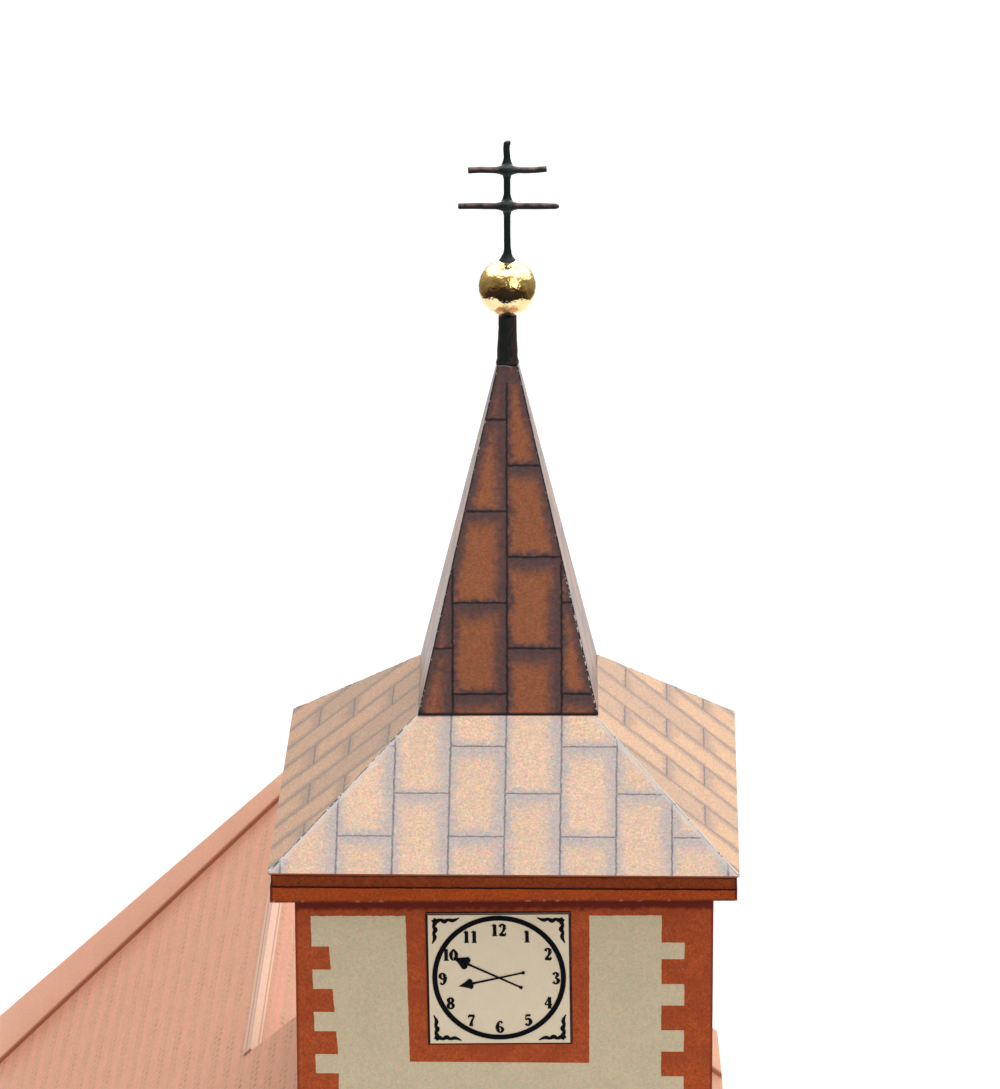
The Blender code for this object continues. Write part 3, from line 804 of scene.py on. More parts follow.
def slab_finish(sizes, colours):
    """Stone slabs on the lower roof, grainy along the joints. A painted sheen pales the print and its
    darker joint edges, and the side faces are painted darker as shade.
    """
    finish = Finish("printed roof slabs", 0.6, specular=0.15)
    along, out = finish.along_and_out()
    front = abs(finish.back) > 0.3
    to_right = finish.across > 0.3

    def on_each_face(colour, left_tone, right_tone):
        """A colour as it is on the front and back, and painted darker on the left and the right face
        as shade, the left the most.
        """
        beside = finish.mix(to_right, toned(colour, *left_tone), toned(colour, *right_tone))
        return finish.mix(front, beside, colour)

    # Millimetres up the slope to a joint, along to a joint, and from one column to the next
    joint_up = 8.34
    joint_along = 0.03
    shift = 4.44
    up = (ROOF_HALF / MM - out) / math.cos(ROOF_SLOPE) - joint_up
    width = sizes.slab_width / MM
    height = sizes.slab_length / MM
    sway = finish.wander(0.6, 0.2)
    edges, tone = finish.slabs(along + sway, up + sway, width, height, joint_along, shift)
    left, right, low, high = edges
    ragged = finish.wander(0.45, 1.6, 3.0) + finish.wander(3.5, 1.2)
    haze = finish.worn_edges(edges, ragged, ((0.0, 1.0), (0.2, 1.7), (0.0, 1.0), (0.2, 2.0)))
    greyer = finish.fade(tone, 0.7, 0.15) * (1 - front) * 0.5
    cloud = finish.noise(1.3, 3.0)
    # Painted light and shade: the front and back faces keep the pale sheened colours, and the left
    # face is painted darker than the right
    middle = on_each_face(colours.slab, (0.76, 0.68, 0.64), (0.95, 0.88, 0.78))
    middle = finish.shaded(middle, 0.9 + tone * 0.1 + cloud * 0.1)
    sheened_edge_ink = on_each_face(colours.slab_haze, (0.7, 0.58, 0.47), (0.85, 0.67, 0.56))
    # The joints' darker ink, paled by the painted sheen
    colour = finish.mix(finish.most(haze * 0.85, greyer), middle, sheened_edge_ink)
    speck = finish.fade(finish.noise(0.17, 1.0), 0.36, 0.62)
    colour = finish.mix(speck * 0.3, colour, finish.shaded(sheened_edge_ink, 0.8))
    grain = finish.noise(0.2, 2.0)
    colour = finish.speckled(finish.shaded(colour, 0.71 + grain * 0.54), 0.19, 0.07)
    colour = finish.speckled(colour, 0.6, 0.045)
    beside = finish.least(left, right)
    above = finish.least(low, high)
    thin = finish.most(finish.fade(beside, 0.03, 0.14), finish.fade(above, 0.03, 0.12))
    soft = finish.most(finish.fade(beside, 0.05, 0.34) * 0.5, finish.fade(above, 0.04, 0.14))
    line = thin * front + soft * (1 - front)
    broken = 0.3 + finish.noise(0.35, 3.0) * 0.95
    colour = finish.mix(line * broken, colour, colours.slab_joint)
    # A pale band along the hips on the front and back faces, partly rubbed print and partly a painted
    # highlight
    from_hip = out - abs(along)
    rubbed = finish.fade(from_hip + ragged * 0.35, 0.15, 0.75) * front
    colour = finish.mix(rubbed * 0.5, colour, linear(208, 208, 210))
    colour = finish.mix(finish.up < 0.5, colour, toned(colours.slab_joint, 0.16, 0.1, 0.1))
    # Painted shade on the roof card's underside
    colour = finish.mix(finish.up < -0.5, colour, colours.verge)
    return finish.cover(colour, roughness=0.45 + speck * 0.15, height=speck, depth=0.008)


def sheet_finish(sizes, colours):
    """Copper sheets on the spire, darker along their joints and at the folds, with a dark line
    painted at the foot as shade where the spire meets the lower roof.
    """
    finish = Finish("printed copper sheets", 0.45, specular=0.4)
    finish.shader.inputs["Coat Roughness"].default_value = 0.35
    finish.shader.inputs["Coat Weight"].default_value = 0.9
    along, out = finish.along_and_out()
    up_slope = (SPIRE_HALF / MM - out) / math.cos(SPIRE_SLOPE)
    width = sizes.sheet_width / MM
    height = sizes.sheet_length / MM
    # Millimetres up the slope to a joint, and along to one
    joint_up = 1.98
    joint_along = -0.08
    sway = finish.wander(0.5, 0.22)
    up = up_slope + sway - joint_up - height / 2
    edges, tone = finish.slabs(along + sway, up, width, height, joint_along, height / 2)
    fold = out - abs(along)
    ragged = finish.wander(0.5, 1.3, 3.0) + finish.wander(3.0, 0.9)
    reaches = ((0.0, 0.9), (0.3, 1.9), (0.0, 0.8), (0.4, 2.2), (0.2, 1.3))
    haze = finish.worn_edges((*edges, fold), ragged, reaches)
    streak = finish.noise(0.45, 2.0, finish.stretched(1.0, 1.0, 0.45))
    grain = finish.noise(0.18, 2.0, finish.stretched(0.6, 0.6, 1.0))
    middle = finish.shaded(colours.sheet, 0.33 + streak * 0.3 + tone * 0.1 + grain * 0.9)
    dark = finish.shaded(colours.sheet_haze, 0.3 + streak * 0.4 + grain * 1.0)
    colour = finish.speckled(finish.mix(haze * 0.85, middle, dark), 0.17, 0.12)
    broken = 0.6 + finish.noise(0.4, 2.0) * 0.7
    line = finish.fade(finish.least(*edges), 0.05, 0.15)
    bare_top = 1.4
    line = line * (finish.z < (SPIRE_TOP / MM - bare_top))
    line = finish.most(line * broken, finish.fade(fold, 0.06, 0.22) * 0.9)
    # Painted shadow: a dark line at the spire's foot, where it meets the lower roof
    foot = finish.fade(finish.z, ROOF_TOP / MM + 0.18, ROOF_TOP / MM + 0.34)
    corner = finish.fade(fold + up_slope * 0.7, 0.3, 0.9)
    colour = finish.mix(finish.most(line, foot, corner), colour, colours.sheet_joint)
    lower_right = finish.fade(up_slope, 9.0, 16.0) * (along > 0.0)
    nick = (fold < 0.14) * (finish.noise(0.3, 2.0) > (0.62 - lower_right * 0.08))
    colour = finish.mix(nick * (0.4 + lower_right * 0.4), colour, colours.card)
    return finish.cover(colour, roughness=0.42 + streak * 0.15, height=streak, depth=0.01)


def tile_finish(name, sizes, colours, pitch, side, slope_shading):
    """Small tiles in courses along the ridge, printed so finely that they blur into streaks."""
    finish = Finish(name, 0.55, specular=0.2)
    down = (finish.x - RIDGE_X / MM) * (side / math.cos(pitch))
    course = sizes.course / MM
    tile = sizes.tile / MM
    row = finish.number("FLOOR", down / course)
    sway = finish.wander(0.7, 0.5)
    # Each course is printed as a row of bold dashes and a row of fine ones, on a tan band
    bold_row = 0.75
    fine_row = 1.4
    tan_band = 1.05
    in_course = (down + sway * 0.4) % course
    shifted = finish.y + sway + (row % 2) * (tile / 2)
    first = finish.fade(abs(in_course - bold_row), 0.14, 0.26)
    second = finish.fade(abs(in_course - fine_row), 0.1, 0.22)
    dash = finish.fade(abs(shifted % tile - tile / 2), 0.2, 0.38)
    faint = finish.noise(2.4, 3.0, finish.stretched(1.0, 0.5, 1.0))
    near = finish.fade(finish.y, 0.0, 45.0) * 0.5 + 0.5
    marks = finish.most(first, second * 0.7) * dash * finish.fade(faint, 0.75, 0.3) * near
    band = finish.fade(abs(in_course - tan_band), 0.3, 0.75)
    streak = finish.noise(0.8, 3.0, finish.stretched(1.0, 0.08, 1.0), 0.6)
    weave = finish.noise(0.4, 2.0, finish.stretched(1.0, 0.4, 1.0))
    tan = toned(colours.tile, 0.87, 1.0, 0.86)
    share = finish.most(band * 0.7, finish.fade(streak, 0.4, 0.6) * 0.6)
    base = finish.mix(share, colours.tile, tan)
    base = finish.speckled(finish.shaded(base, 0.9 + weave * 0.2), 0.2, 0.1)
    colour = finish.mix(marks, base, colours.tile_dash)
    # Painted shade: each slope's print is made lighter or darker as a whole for the light it gets
    colour = finish.shaded(colour, slope_shading)
    colour = finish.mix(finish.up < 0.0, colour, colours.card)
    return finish.cover(colour, height=marks, depth=-0.01)


def cap_finish(colours):
    """The folded strip along the ridge: pale, its left half painted darker than its right as shade,
    with thin lines at its edges and on its fold.
    """
    finish = Finish("printed ridge strip", 0.6, specular=0.2)
    from_ridge = finish.x - RIDGE_X / MM
    cloud = finish.noise(0.5, 3.0, finish.stretched(1.0, 0.6, 1.0))
    # Painted shade: the half that faces left is darker than the half that faces right
    left = toned(colours.parapet, 0.66, 0.64, 0.62)
    right = toned(colours.parapet, 0.76, 0.72, 0.7)
    colour = finish.shaded(finish.mix(from_ridge > 0.0, left, right), 0.88 + cloud * 0.2)
    # Where each line runs, half its width, where it has faded, and its share of the ink
    printed = ((-0.42, 0.03, 0.1, 1.0), (-0.04, 0.02, 0.08, 0.5), (0.68, 0.03, 0.1, 1.0))
    lines = [finish.fade(abs(from_ridge - x), half, end) * ink for x, half, end, ink in printed]
    lines = finish.most(*lines) * (0.3 + cloud * 0.5)
    colour = finish.speckled(finish.mix(lines, colour, colours.tile_dash), 0.2, 0.06)
    return finish.cover(colour, height=cloud, depth=0.01)


def plain_finish(name, colour, roughness=0.8, grain_size=0.25, amount=0.08):
    """Card of one colour, with the fine tooth of paper."""
    finish = Finish(name, roughness, specular=0.3)
    grain = finish.noise(grain_size, 2.0)
    cloud = finish.noise(4.0, 2.0)
    tone = 1.0 - amount + grain * amount + (cloud - 0.5) * amount
    return finish.cover(finish.shaded(colour, tone), height=grain, depth=0.01)


def trim_finish(name, colours):
    """Brick red card for what stands off a wall."""
    return plain_finish(name, colours.brick, 0.6, 0.2, 0.25)


def dial_card_finish(colours):
    """Cream card with a thin dark line just inside its edges."""
    finish = Finish("printed dial card", 0.6, specular=0.25)
    along, _ = finish.along_and_out()
    _, line = dial_card_print(finish, along, 1.0)
    cloud = finish.noise(1.2, 3.0)
    cream = finish.shaded(toned(colours.cream, *DIAL_CREAM), 0.95 + cloud * 0.1)
    colour = finish.mix(line, finish.speckled(cream, 0.2, 0.02), colours.ink)
    return finish.cover(colour, height=cloud, depth=0.008)


def glass_finish(colours):
    """Dark printed panes with a leaded lattice."""
    finish = Finish("printed leaded glass", 0.22, specular=0.6)
    along, _ = finish.along_and_out()
    lattice = 1.3
    rising = along + finish.z
    falling = along - finish.z
    near = finish.least(finish.to_line(rising, lattice), finish.to_line(falling, lattice))
    lead = finish.fade(near, 0.05, 0.1)
    column = finish.number("FLOOR", (rising + lattice / 2) / lattice)
    row = finish.number("FLOOR", (falling + lattice / 2) / lattice)
    tone = finish.chance(column, row)
    pane = finish.shaded(colours.glass, 0.6 + tone * 0.9)
    colour = finish.mix(lead, pane, toned(colours.glass, 0.3, 0.3, 0.3))
    return finish.cover(colour, roughness=0.18 + lead * 0.4, height=tone + lead, depth=0.02)


def board_finish(colours):
    """Stained boards whose grain runs up the door, each board a little different."""
    finish = Finish("stained boards", 0.5, specular=0.4)
    board = finish.number("FLOOR", finish.x / (BOARD_WIDTH / MM) + 0.5)
    place = finish.node("CombineXYZ", values={"X": finish.x * 6, "Y": board * 9, "Z": finish.z})
    grain = finish.noise(1.2, 4.0, place, 0.8)
    tone = finish.chance(board)
    colour = finish.shaded(colours.door, 0.6 + grain * 0.6 + tone * 0.25)
    return finish.cover(colour, roughness=0.4 + grain * 0.2, height=grain, depth=0.03)


def wood_finish(colours):
    """The stained stick: nearly black, with brown grain on its right side, painted there as light."""
    finish = Finish("dark stained stick", 0.42, specular=0.35)
    grain = finish.noise(0.35, 4.0, finish.stretched(1.6, 1.6, 0.5), 0.5)
    # Painted light: brown shows in the grain only on the right side, where light falls
    brown = toned(colours.wood, 5.0, 0.9, 1.5)
    share = finish.fade(grain, 0.62, 0.45) * (1 - finish.fade(finish.x, -0.2, 0.6))
    colour = finish.mix(share, finish.shaded(colours.wood, 0.5 + grain * 0.9), brown)
    return finish.cover(colour, roughness=0.35 + grain * 0.3, height=grain, depth=0.05)


def wire_finish(colours):
    """Blackened wire, lighter brown on top away from the stem as a painted highlight."""
    finish = Finish("blackened wire", 0.45, metallic=0.2, specular=0.4)
    grain = finish.noise(0.3, 3.0)
    away = 1 - finish.fade(abs(finish.x), 0.5, 1.0)
    on_top = 1 - finish.fade(finish.up, -0.1, 0.5)
    # Painted highlight: lighter brown patches on the upward faces
    lit_top = finish.fade(finish.noise(0.7, 2.0), 0.66, 0.36) * away * on_top
    dark = finish.shaded(colours.wire, 0.5 + grain * 1.0)
    colour = finish.mix(lit_top, dark, linear(104, 78, 72))
    return finish.cover(colour, roughness=0.35 + grain * 0.3, height=grain, depth=0.04)


def gilt_finish(colours):
    """A polished bead with faint marks of handling."""
    finish = Finish("polished gilt", 0.08, metallic=1.0)
    smear = finish.noise(1.4, 3.0, distortion=1.0)
    dent = finish.noise(1.0, 3.0)
    deep = toned(colours.gilt, 0.85, 0.75, 0.6)
    colour = finish.mix(finish.fade(smear, 0.4, 0.6) * 0.6, colours.gilt, deep)
    return finish.cover(colour, roughness=0.04 + smear * 0.1, height=dent, depth=0.16)


def worn_finish(name, colours, amount):
    """A folded edge: the card's white core where it has rubbed through, and grey between."""
    finish = Finish(name, 0.7, specular=0.2)
    corner = finish.fade(finish.z - EAVES_Z / MM, 0.15, 0.6)
    printed = finish.fade(finish.noise(0.5, 3.0), 0.55 - amount * 0.2, 0.6 - amount * 0.2)
    grain = finish.noise(0.15, 1.0)
    white = finish.shaded(colours.card, 0.66 + grain * 0.3)
    ink = toned(colours.slab_joint, 0.8, 0.8, 0.8)
    colour = finish.mix(printed * (1 - corner), white, ink)
    return finish.cover(colour, height=grain, depth=0.02)


def ink_finish(colours):
    """The nearly black ink of the dials."""
    finish = Finish("dial ink", 0.6, specular=0.12)
    grain = finish.noise(0.2, 2.0)
    colour = finish.shaded(colours.ink, 0.7 + grain * 0.6)
    return finish.cover(colour, height=grain, depth=0.005)


def glue_finish():
    """Dried glue, with a little of the stick's stain in it."""
    finish = Finish("dried glue", 0.3, specular=0.5)
    grain = finish.noise(0.4, 2.0)
    colour = finish.mix(grain, linear(206, 196, 184), linear(150, 132, 118))
    return finish.cover(colour, height=grain, depth=0.02)


def cornice_strip(sizes, finish):
    """The second layer of card round the lower part of the cornice, with its askew edge."""
    half = CORNICE_HALF + GAP + sizes.strip
    bottom = CORNICE_LOW
    below_eaves = 0.00142
    rounding = 0.00006
    height = EAVES_Z - below_eaves - bottom
    plane = bpy.ops.mesh.primitive_plane_add
    strip = added(plane, size=2 * half, location=(0, 0, bottom))
    apply_place()
    edit(strip)
    bpy.ops.mesh.select_all(action="SELECT")
    bpy.ops.mesh.subdivide(number_cuts=1)
    close_edit()
    raise_rim(strip, sizes.strip, height)
    bpy.context.tool_settings.mesh_select_mode = (False, True, False)
    for edge in strip.data.edges:
        ends = [strip.data.vertices[index].co for index in edge.vertices]
        upright = abs(ends[0].z - ends[1].z) > height / 2
        outer = all(abs(abs(end.x) - half) < GAP / 2 for end in ends)
        edge.select = upright and outer
    bpy.ops.object.mode_set(mode="EDIT")
    bpy.ops.mesh.bevel(offset=rounding, segments=2, affect="EDGES")
    close_edit()
    for vertex in strip.data.vertices:
        if vertex.co.z < bottom + height / 2:
            vertex.co.z += vertex.co.x * CORNICE_SKEW
    recalculate(strip)
    return settle(strip, "cornice_strip", finish)


# Numerals as strokes of a pen, each point (x, y, half width) in shares of the height
DIGITS = {
    "0": [[(0, 0.46, 0.035), (0.18, 0, 0.1), (0, -0.46, 0.035), (-0.18, 0, 0.1), (0, 0.46, 0.035)]],
    "1": [
        [(0.02, 0.45, 0.09), (0.02, -0.45, 0.09)],
        [(-0.17, 0.33, 0.025), (0.0, 0.46, 0.05)],
        [(-0.15, -0.47, 0.03), (0.19, -0.47, 0.03)],
    ],
    "2": [
        [(-0.15, 0.26, 0.08), (-0.08, 0.43, 0.05), (0.08, 0.42, 0.06), (0.17, 0.24, 0.1)],
        [(0.17, 0.24, 0.1), (0.07, -0.08, 0.06), (-0.19, -0.42, 0.035)],
        [(-0.19, -0.42, 0.06), (0.02, -0.4, 0.085), (0.17, -0.43, 0.06), (0.22, -0.24, 0.03)],
    ],
    "3": [
        [(-0.16, 0.3, 0.07), (-0.03, 0.46, 0.04), (0.14, 0.28, 0.09), (-0.03, 0.06, 0.03)],
        [(-0.03, 0.06, 0.03), (0.18, -0.2, 0.1), (0.0, -0.46, 0.04), (-0.17, -0.3, 0.075)],
    ],
    "4": [
        [(0.08, 0.45, 0.085), (0.08, -0.45, 0.085)],
        [(0.05, 0.46, 0.035), (-0.23, -0.15, 0.035)],
        [(-0.24, -0.17, 0.04), (0.24, -0.17, 0.04)],
        [(-0.06, -0.47, 0.03), (0.22, -0.47, 0.03)],
    ],
    "5": [
        [(-0.13, 0.42, 0.06), (0.17, 0.42, 0.06)],
        [(-0.14, 0.42, 0.03), (-0.16, 0.03, 0.03)],
        [(-0.16, 0.04, 0.03), (0.04, 0.12, 0.06), (0.17, -0.15, 0.1), (0.0, -0.46, 0.04)],
        [(0.0, -0.46, 0.04), (-0.17, -0.3, 0.075)],
    ],
    "6": [
        [(0.16, 0.32, 0.06), (0.03, 0.46, 0.04), (-0.16, 0.1, 0.09), (-0.17, -0.2, 0.1)],
        [(-0.17, -0.2, 0.1), (0.01, -0.46, 0.04), (0.17, -0.2, 0.09), (0.01, 0.05, 0.035)],
        [(0.01, 0.05, 0.035), (-0.15, -0.1, 0.04)],
    ],
    "7": [
        [(-0.2, 0.41, 0.07), (0.19, 0.41, 0.065)],
        [(-0.21, 0.42, 0.035), (-0.22, 0.22, 0.025)],
        [(0.19, 0.4, 0.035), (0.02, -0.02, 0.06), (-0.05, -0.45, 0.1)],
    ],
    "8": [
        [(0, 0.46, 0.04), (0.15, 0.25, 0.08), (0, 0.04, 0.05), (-0.15, 0.25, 0.09), (0, 0.46, 0.04)],
        [
            (0, 0.04, 0.05),
            (0.17, -0.22, 0.09),
            (0, -0.46, 0.04),
            (-0.17, -0.22, 0.09),
            (0, 0.04, 0.05),
        ],
    ],
}
DIGITS["9"] = [[(-x, -y, half) for x, y, half in stroke] for stroke in DIGITS["6"]]

# One arm of a corner ornament, each point (x, y, half width) in millimetres
SCROLL_ARM = [
    (0.1, 0.08, 0.18),
    (0.42, 0.24, 0.21),
    (0.72, 0.12, 0.14),
    (1.08, 0.27, 0.22),
    (1.42, 0.12, 0.14),
    (1.8, 0.2, 0.18),
    (2.42, -0.04, 0.05),
]

# How far the dial and its numerals were printed above the middle of their card
DIAL_RISE = 0.00014
NUMERAL_RISE = 0.00006


def lay_on_dial(piece, name, ink, layer, rise):
    """Lays a drawing on the front panel, and a copy straight on each of the other walls."""
    stand_on(piece, "front", PANEL_MIDDLE.x, PANEL_FACE + layer, PANEL_MIDDLE.z + rise)
    tilt = Matrix.Rotation(PANEL_TILT, 4, "Z")
    piece.rotation_euler = (Matrix.Rotation(math.pi / 2, 4, "X") @ tilt).to_euler()
    first = settle(piece, f"{name}_front", ink)
    inward = Vector((0, PANEL_FACE - TOWER_HALF, 0))
    for index, side in enumerate(SIDES[1:], start=1):
        copy_to(first, f"{name}_{side}", index * math.pi / 2, inward)


def dial_ring(sizes, ink):
    """The bold ring round the dial."""
    circle = bpy.ops.mesh.primitive_circle_add
    ring = added(circle, vertices=96, radius=sizes.dial_radius, fill_type="NGON")
    raise_rim(ring, sizes.dial_ring, sizes.ink)
    recalculate(ring)
    lay_on_dial(ring, "dial_ring", ink, 0.0, DIAL_RISE)


def dial_numerals(sizes, ink):
    """Twelve upright numerals. They stand on an ellipse, a little wider than it is high."""
    wide = sizes.dial_radius * 0.845 / MM
    high = sizes.dial_radius * 0.783 / MM
    scale = sizes.numeral_height / MM
    width = scale * 1.15
    bold = scale * 1.55
    spacing = scale * 0.6
    strokes = []
    for hour in range(1, 13):
        angle = hour * math.pi / 6
        middle = high * math.cos(angle)
        digits = str(hour)
        for index, digit in enumerate(digits):
            left = wide * math.sin(angle) + (index - (len(digits) - 1) / 2) * spacing
            for stroke in DIGITS[digit]:
                strokes.append(
                    [(left + x * width, middle + y * scale, 0, w * bold) for x, y, w in stroke]
                )
    numerals = drawn(strokes, flat=0.3, sides=1)
    lay_on_dial(numerals, "dial_numerals", ink, sizes.ink / 2, NUMERAL_RISE)


def hand(angle, reach, blade, lobe, tail):
    """One hand: a small disc on its tail, a thin stem, two lobes and a pointed blade."""
    toward = (math.sin(angle), math.cos(angle))
    across = (toward[1], -toward[0])
    start_of_blade = reach - blade
    spots = [
        (-tail - 0.06, 0, 0.15),
        (-tail + 0.1, 0, 0.16),
        (-tail + 0.3, 0, 0.08),
        (0, 0, 0.09),
        (start_of_blade - 0.2, 0, 0.1),
        (start_of_blade + 0.1, 0, 0.16),
        (start_of_blade + blade * 0.38, 0, lobe),
        (start_of_blade + blade * 0.66, 0, lobe * 0.5),
        (reach, 0, 0.03),
    ]
    strokes = [spots]
    for side in (-1, 1):
        off = side * lobe * 0.68
        size = lobe * 0.66
        near = start_of_blade + blade * 0.2
        round_off = ((-0.95, 0.3), (-0.5, 0.85), (0.0, 1.0), (0.5, 0.85), (1.0, 0.3))
        strokes.append([(near + away * size, off, size * half) for away, half in round_off])
    return [
        [
            (toward[0] * a + across[0] * b, toward[1] * a + across[1] * b, 0, half)
            for a, b, half in stroke
        ]
        for stroke in strokes
    ]


def dial_hands(sizes, ink):
    """The two printed hands, with their lengths in millimetres."""
    minute = hand(sizes.minute_angle, reach=4.55, blade=1.55, lobe=0.48, tail=2.25)
    hour = hand(sizes.hour_angle, reach=3.7, blade=1.3, lobe=0.38, tail=2.3)
    hands = drawn(minute + hour, flat=0.16)
    lay_on_dial(hands, "dial_hands", ink, sizes.ink, DIAL_RISE)


def dial_scrolls(sizes, ink):
    """A small wavy ornament in each corner of the panel."""
    reach_x = PANEL_WIDTH / 2 / MM - 0.5
    reach_y = PANEL_HEIGHT / 2 / MM - 0.42
    strokes = []
    for right in (-1, 1):
        for up in (-1, 1):
            arms = (SCROLL_ARM, [(y, x, half) for x, y, half in SCROLL_ARM])
            for arm in arms:
                spots = [(right * (reach_x - x), up * (reach_y - y), 0, half) for x, y, half in arm]
                strokes.append(spots)
    scrolls = drawn(strokes, flat=0.2, sides=1)
    lay_on_dial(scrolls, "dial_scrolls", ink, sizes.ink / 2, 0.0)


def hip_edges(rubbed, inked):
    """Ragged edges along the four hips of the lower roof: the front and right ones rubbed pale and
    lightened as a painted highlight, the left and back ones kept dark with ink as painted shade.
    """
    inset = 0.16
    corner = ROOF_HALF / MM - inset
    foot = EAVES_Z / MM + inset * math.tan(ROOF_SLOPE) - 0.05
    top = SPIRE_HALF / MM + 0.02
    peak = ROOF_TOP / MM - 0.06
    # Half the width of an edge at even steps from the eaves up
    halves = (0.13, 0.06, 0.1, 0.07, 0.11, 0.05, 0.09, 0.06, 0.1, 0.05)
    for index, side in enumerate(SIDES):
        # Painted light and shade: the left and back hips stay dark, the front and right ones pale
        dark = side in ("left", "back")
        stroke = []
        for step, half in enumerate(halves):
            share = step / (len(halves) - 1)
            reach = corner + (top - corner) * share
            half *= 0.75 if dark and step else 1.0
            stroke.append((reach, -reach, foot + (peak - foot) * share, half))
        edge = drawn([stroke], sides=1, steps=3)
        edge.rotation_euler = (0, 0, index * math.pi / 2)
        settle(edge, f"hip_edge_{side}", inked if dark else rubbed)


def gilt_ball(finish):
    """A polished bead, with a drilled hole for the wire and for the stick."""
    centre = (BALL_LOW + BALL_HIGH) / 2
    radius = (BALL_HIGH.z - BALL_LOW.z) / 2
    hole = radius * 0.2
    sphere = bpy.ops.mesh.primitive_uv_sphere_add
    ball = added(sphere, segments=64, ring_count=40, radius=radius, location=centre)
    for end in (1, -1):
        edit(ball, lambda spot, normal, end=end: spot.z * end > 0 and spot.xy.length < hole)
        bpy.ops.mesh.inset(thickness=radius * 0.03)
        drop = {"value": (0, 0, -end * radius * 0.25)}
        bpy.ops.mesh.extrude_region_move(TRANSFORM_OT_translate=drop)
        close_edit()
    smooth(ball, 50)
    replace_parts(settle(ball, "gilt_ball", finish), "ball")


def stick(finish):
    """The tapered stick between spire and ball, a little uneven."""
    low = NECK_LOW.z / MM
    high = NECK_HIGH.z / MM
    # How far up the stick, and how wide there against the top of the spire
    taper = ((0, 1.06), (0.05, 1.08), (0.12, 0.98), (0.3, 0.99), (0.5, 0.9), (0.75, 0.87), (1, 0.85))
    wide = SPIRE_TOP_HALF / MM
    stroke = [(0, 0, low + (high - low) * share, wide * size) for share, size in taper]
    neck = drawn([stroke], sides=6, steps=8)
    neck.rotation_euler = (0, 0, SPIRE_TURN)
    take(neck)
    grain = bpy.data.textures.new("stick grain", "CLOUDS")
    grain.noise_scale = 0.0006
    rough = neck.modifiers.new("rough", "DISPLACE")
    rough.texture = grain
    rough.texture_coords = "LOCAL"
    rough.strength = 0.0001
    rough.mid_level = 0.6
    smooth(neck, 50)
    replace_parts(settle(neck, "stained_stick", finish), "spire_neck")


def glue_thread(finish):
    """An uneven thread of dried glue round the foot of the stick."""
    reach = SPIRE_TOP_HALF / MM + 0.04
    ring = []
    for x, y in round_outline(reach, steps=14):
        angle = math.atan2(y, x)
        wobble = math.sin(3 * angle + 0.6) + 0.9 * math.sin(angle)
        half = 0.05 + 0.025 * math.cos(2 * angle)
        ring.append((x, y, NECK_LOW.z / MM + 0.06 + 0.12 * wobble, half))
    thread = drawn([ring], closed=True)
    smooth(thread, 60)
    settle(thread, "glue_thread", finish)


def soldered_cross(finish):
    """Three wires run together by solder: the corners are filled, and the ends are blunt."""
    stem_low, stem_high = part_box("cross_stem")
    foot = stem_low.z / MM
    top = stem_high.z / MM
    bars = [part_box("cross_lower_bar"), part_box("cross_upper_bar")]
    # How far from a crossing, and half of the width there
    fillet = ((1.0, 0.32), (0.65, 0.4), (0.35, 0.52))
    solder = [(-away, half) for away, half in fillet] + [(0, 0.6), *reversed(fillet)]
    stem = [(0, 0, foot - 0.4, 0.85), (0, 0, foot - 0.05, 0.74), (0, 0, foot + 0.22, 0.54)]
    stem += [(0.02, 0, foot + 0.55, 0.39), (0.02, 0, foot + 1.1, 0.32), (0, 0, foot + 2.4, 0.31)]
    strokes = [stem]
    # Points of the lower and of the upper bar, as shares of their reach, with lift and half width
    arms = (
        ((-1, 0.0, 0.28), (-0.6, 0.02, 0.3), (0.6, 0.0, 0.31), (0.93, -0.02, 0.27), (1, -0.03, 0.16)),
        ((-1, -0.02, 0.3), (-0.65, 0.03, 0.3), (0.65, 0.0, 0.29), (0.97, 0.12, 0.29)),
    )
    for (low, high), arm in zip(bars, arms):
        middle = (low.z + high.z) / 2 / MM
        forward = (low.y + high.y) / 2 / MM + 0.1
        stem += [(0, -0.05, middle + rise, half) for rise, half in solder]
        bar = []
        for share, lift, half in arm:
            reach = (high.x if share > 0 else -low.x) / MM + 0.03
            bar.append((share * reach, forward, middle + lift, half))
        bar[2:2] = [(aside, forward, middle, half * 0.95) for aside, half in solder]
        strokes.append(bar)
    stem += [(-0.03, 0, top - 0.6, 0.31), (0.03, 0, top - 0.32, 0.33), (0, 0, top - 0.18, 0.24)]
    cross = drawn(strokes, sides=3, steps=6)
    # The skin is made at a thousand times the size, so a voxel of 0.06 is 0.06 mm on the model
    cross.scale = (1 / MM, 1 / MM, 1 / MM)
    take(cross)
    apply_place()
    skin = cross.modifiers.new("skin", "REMESH")
    skin.mode = "VOXEL"
    skin.voxel_size = 0.06
    soften = cross.modifiers.new("soften", "SMOOTH")
    soften.factor = 0.5
    soften.iterations = 4
    for name in ("skin", "soften"):
        bpy.ops.object.modifier_apply(modifier=name)
    cross.scale = (MM, MM, MM)
    cross.rotation_euler = (0, 0, SPIRE_TURN)
    smooth(cross, 80)
    piece = settle(cross, "soldered_cross", finish)
    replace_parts(piece, "cross_stem", "cross_upper_bar", "cross_lower_bar")


def glazing_outlines(width, height, frame, bar, rows):
    """A frame with a round head and its panes, two columns wide, as holes in one card."""
    half = width / 2
    spring = height - half
    inner = half - frame
    near = bar / 2
    outlines = [arch(half, 0.0, spring)]
    step = (spring - frame) / rows
    for side in (-1, 1):
        for row in range(rows):
            low = frame + row * step
            outlines.append(box_outline(side * near, low, side * inner, low + step - bar))
        head = round_head(inner, spring, math.acos(near / inner), 8, side)
        outlines.append([(side * near, spring), (side * inner, spring), *head])
    return outlines


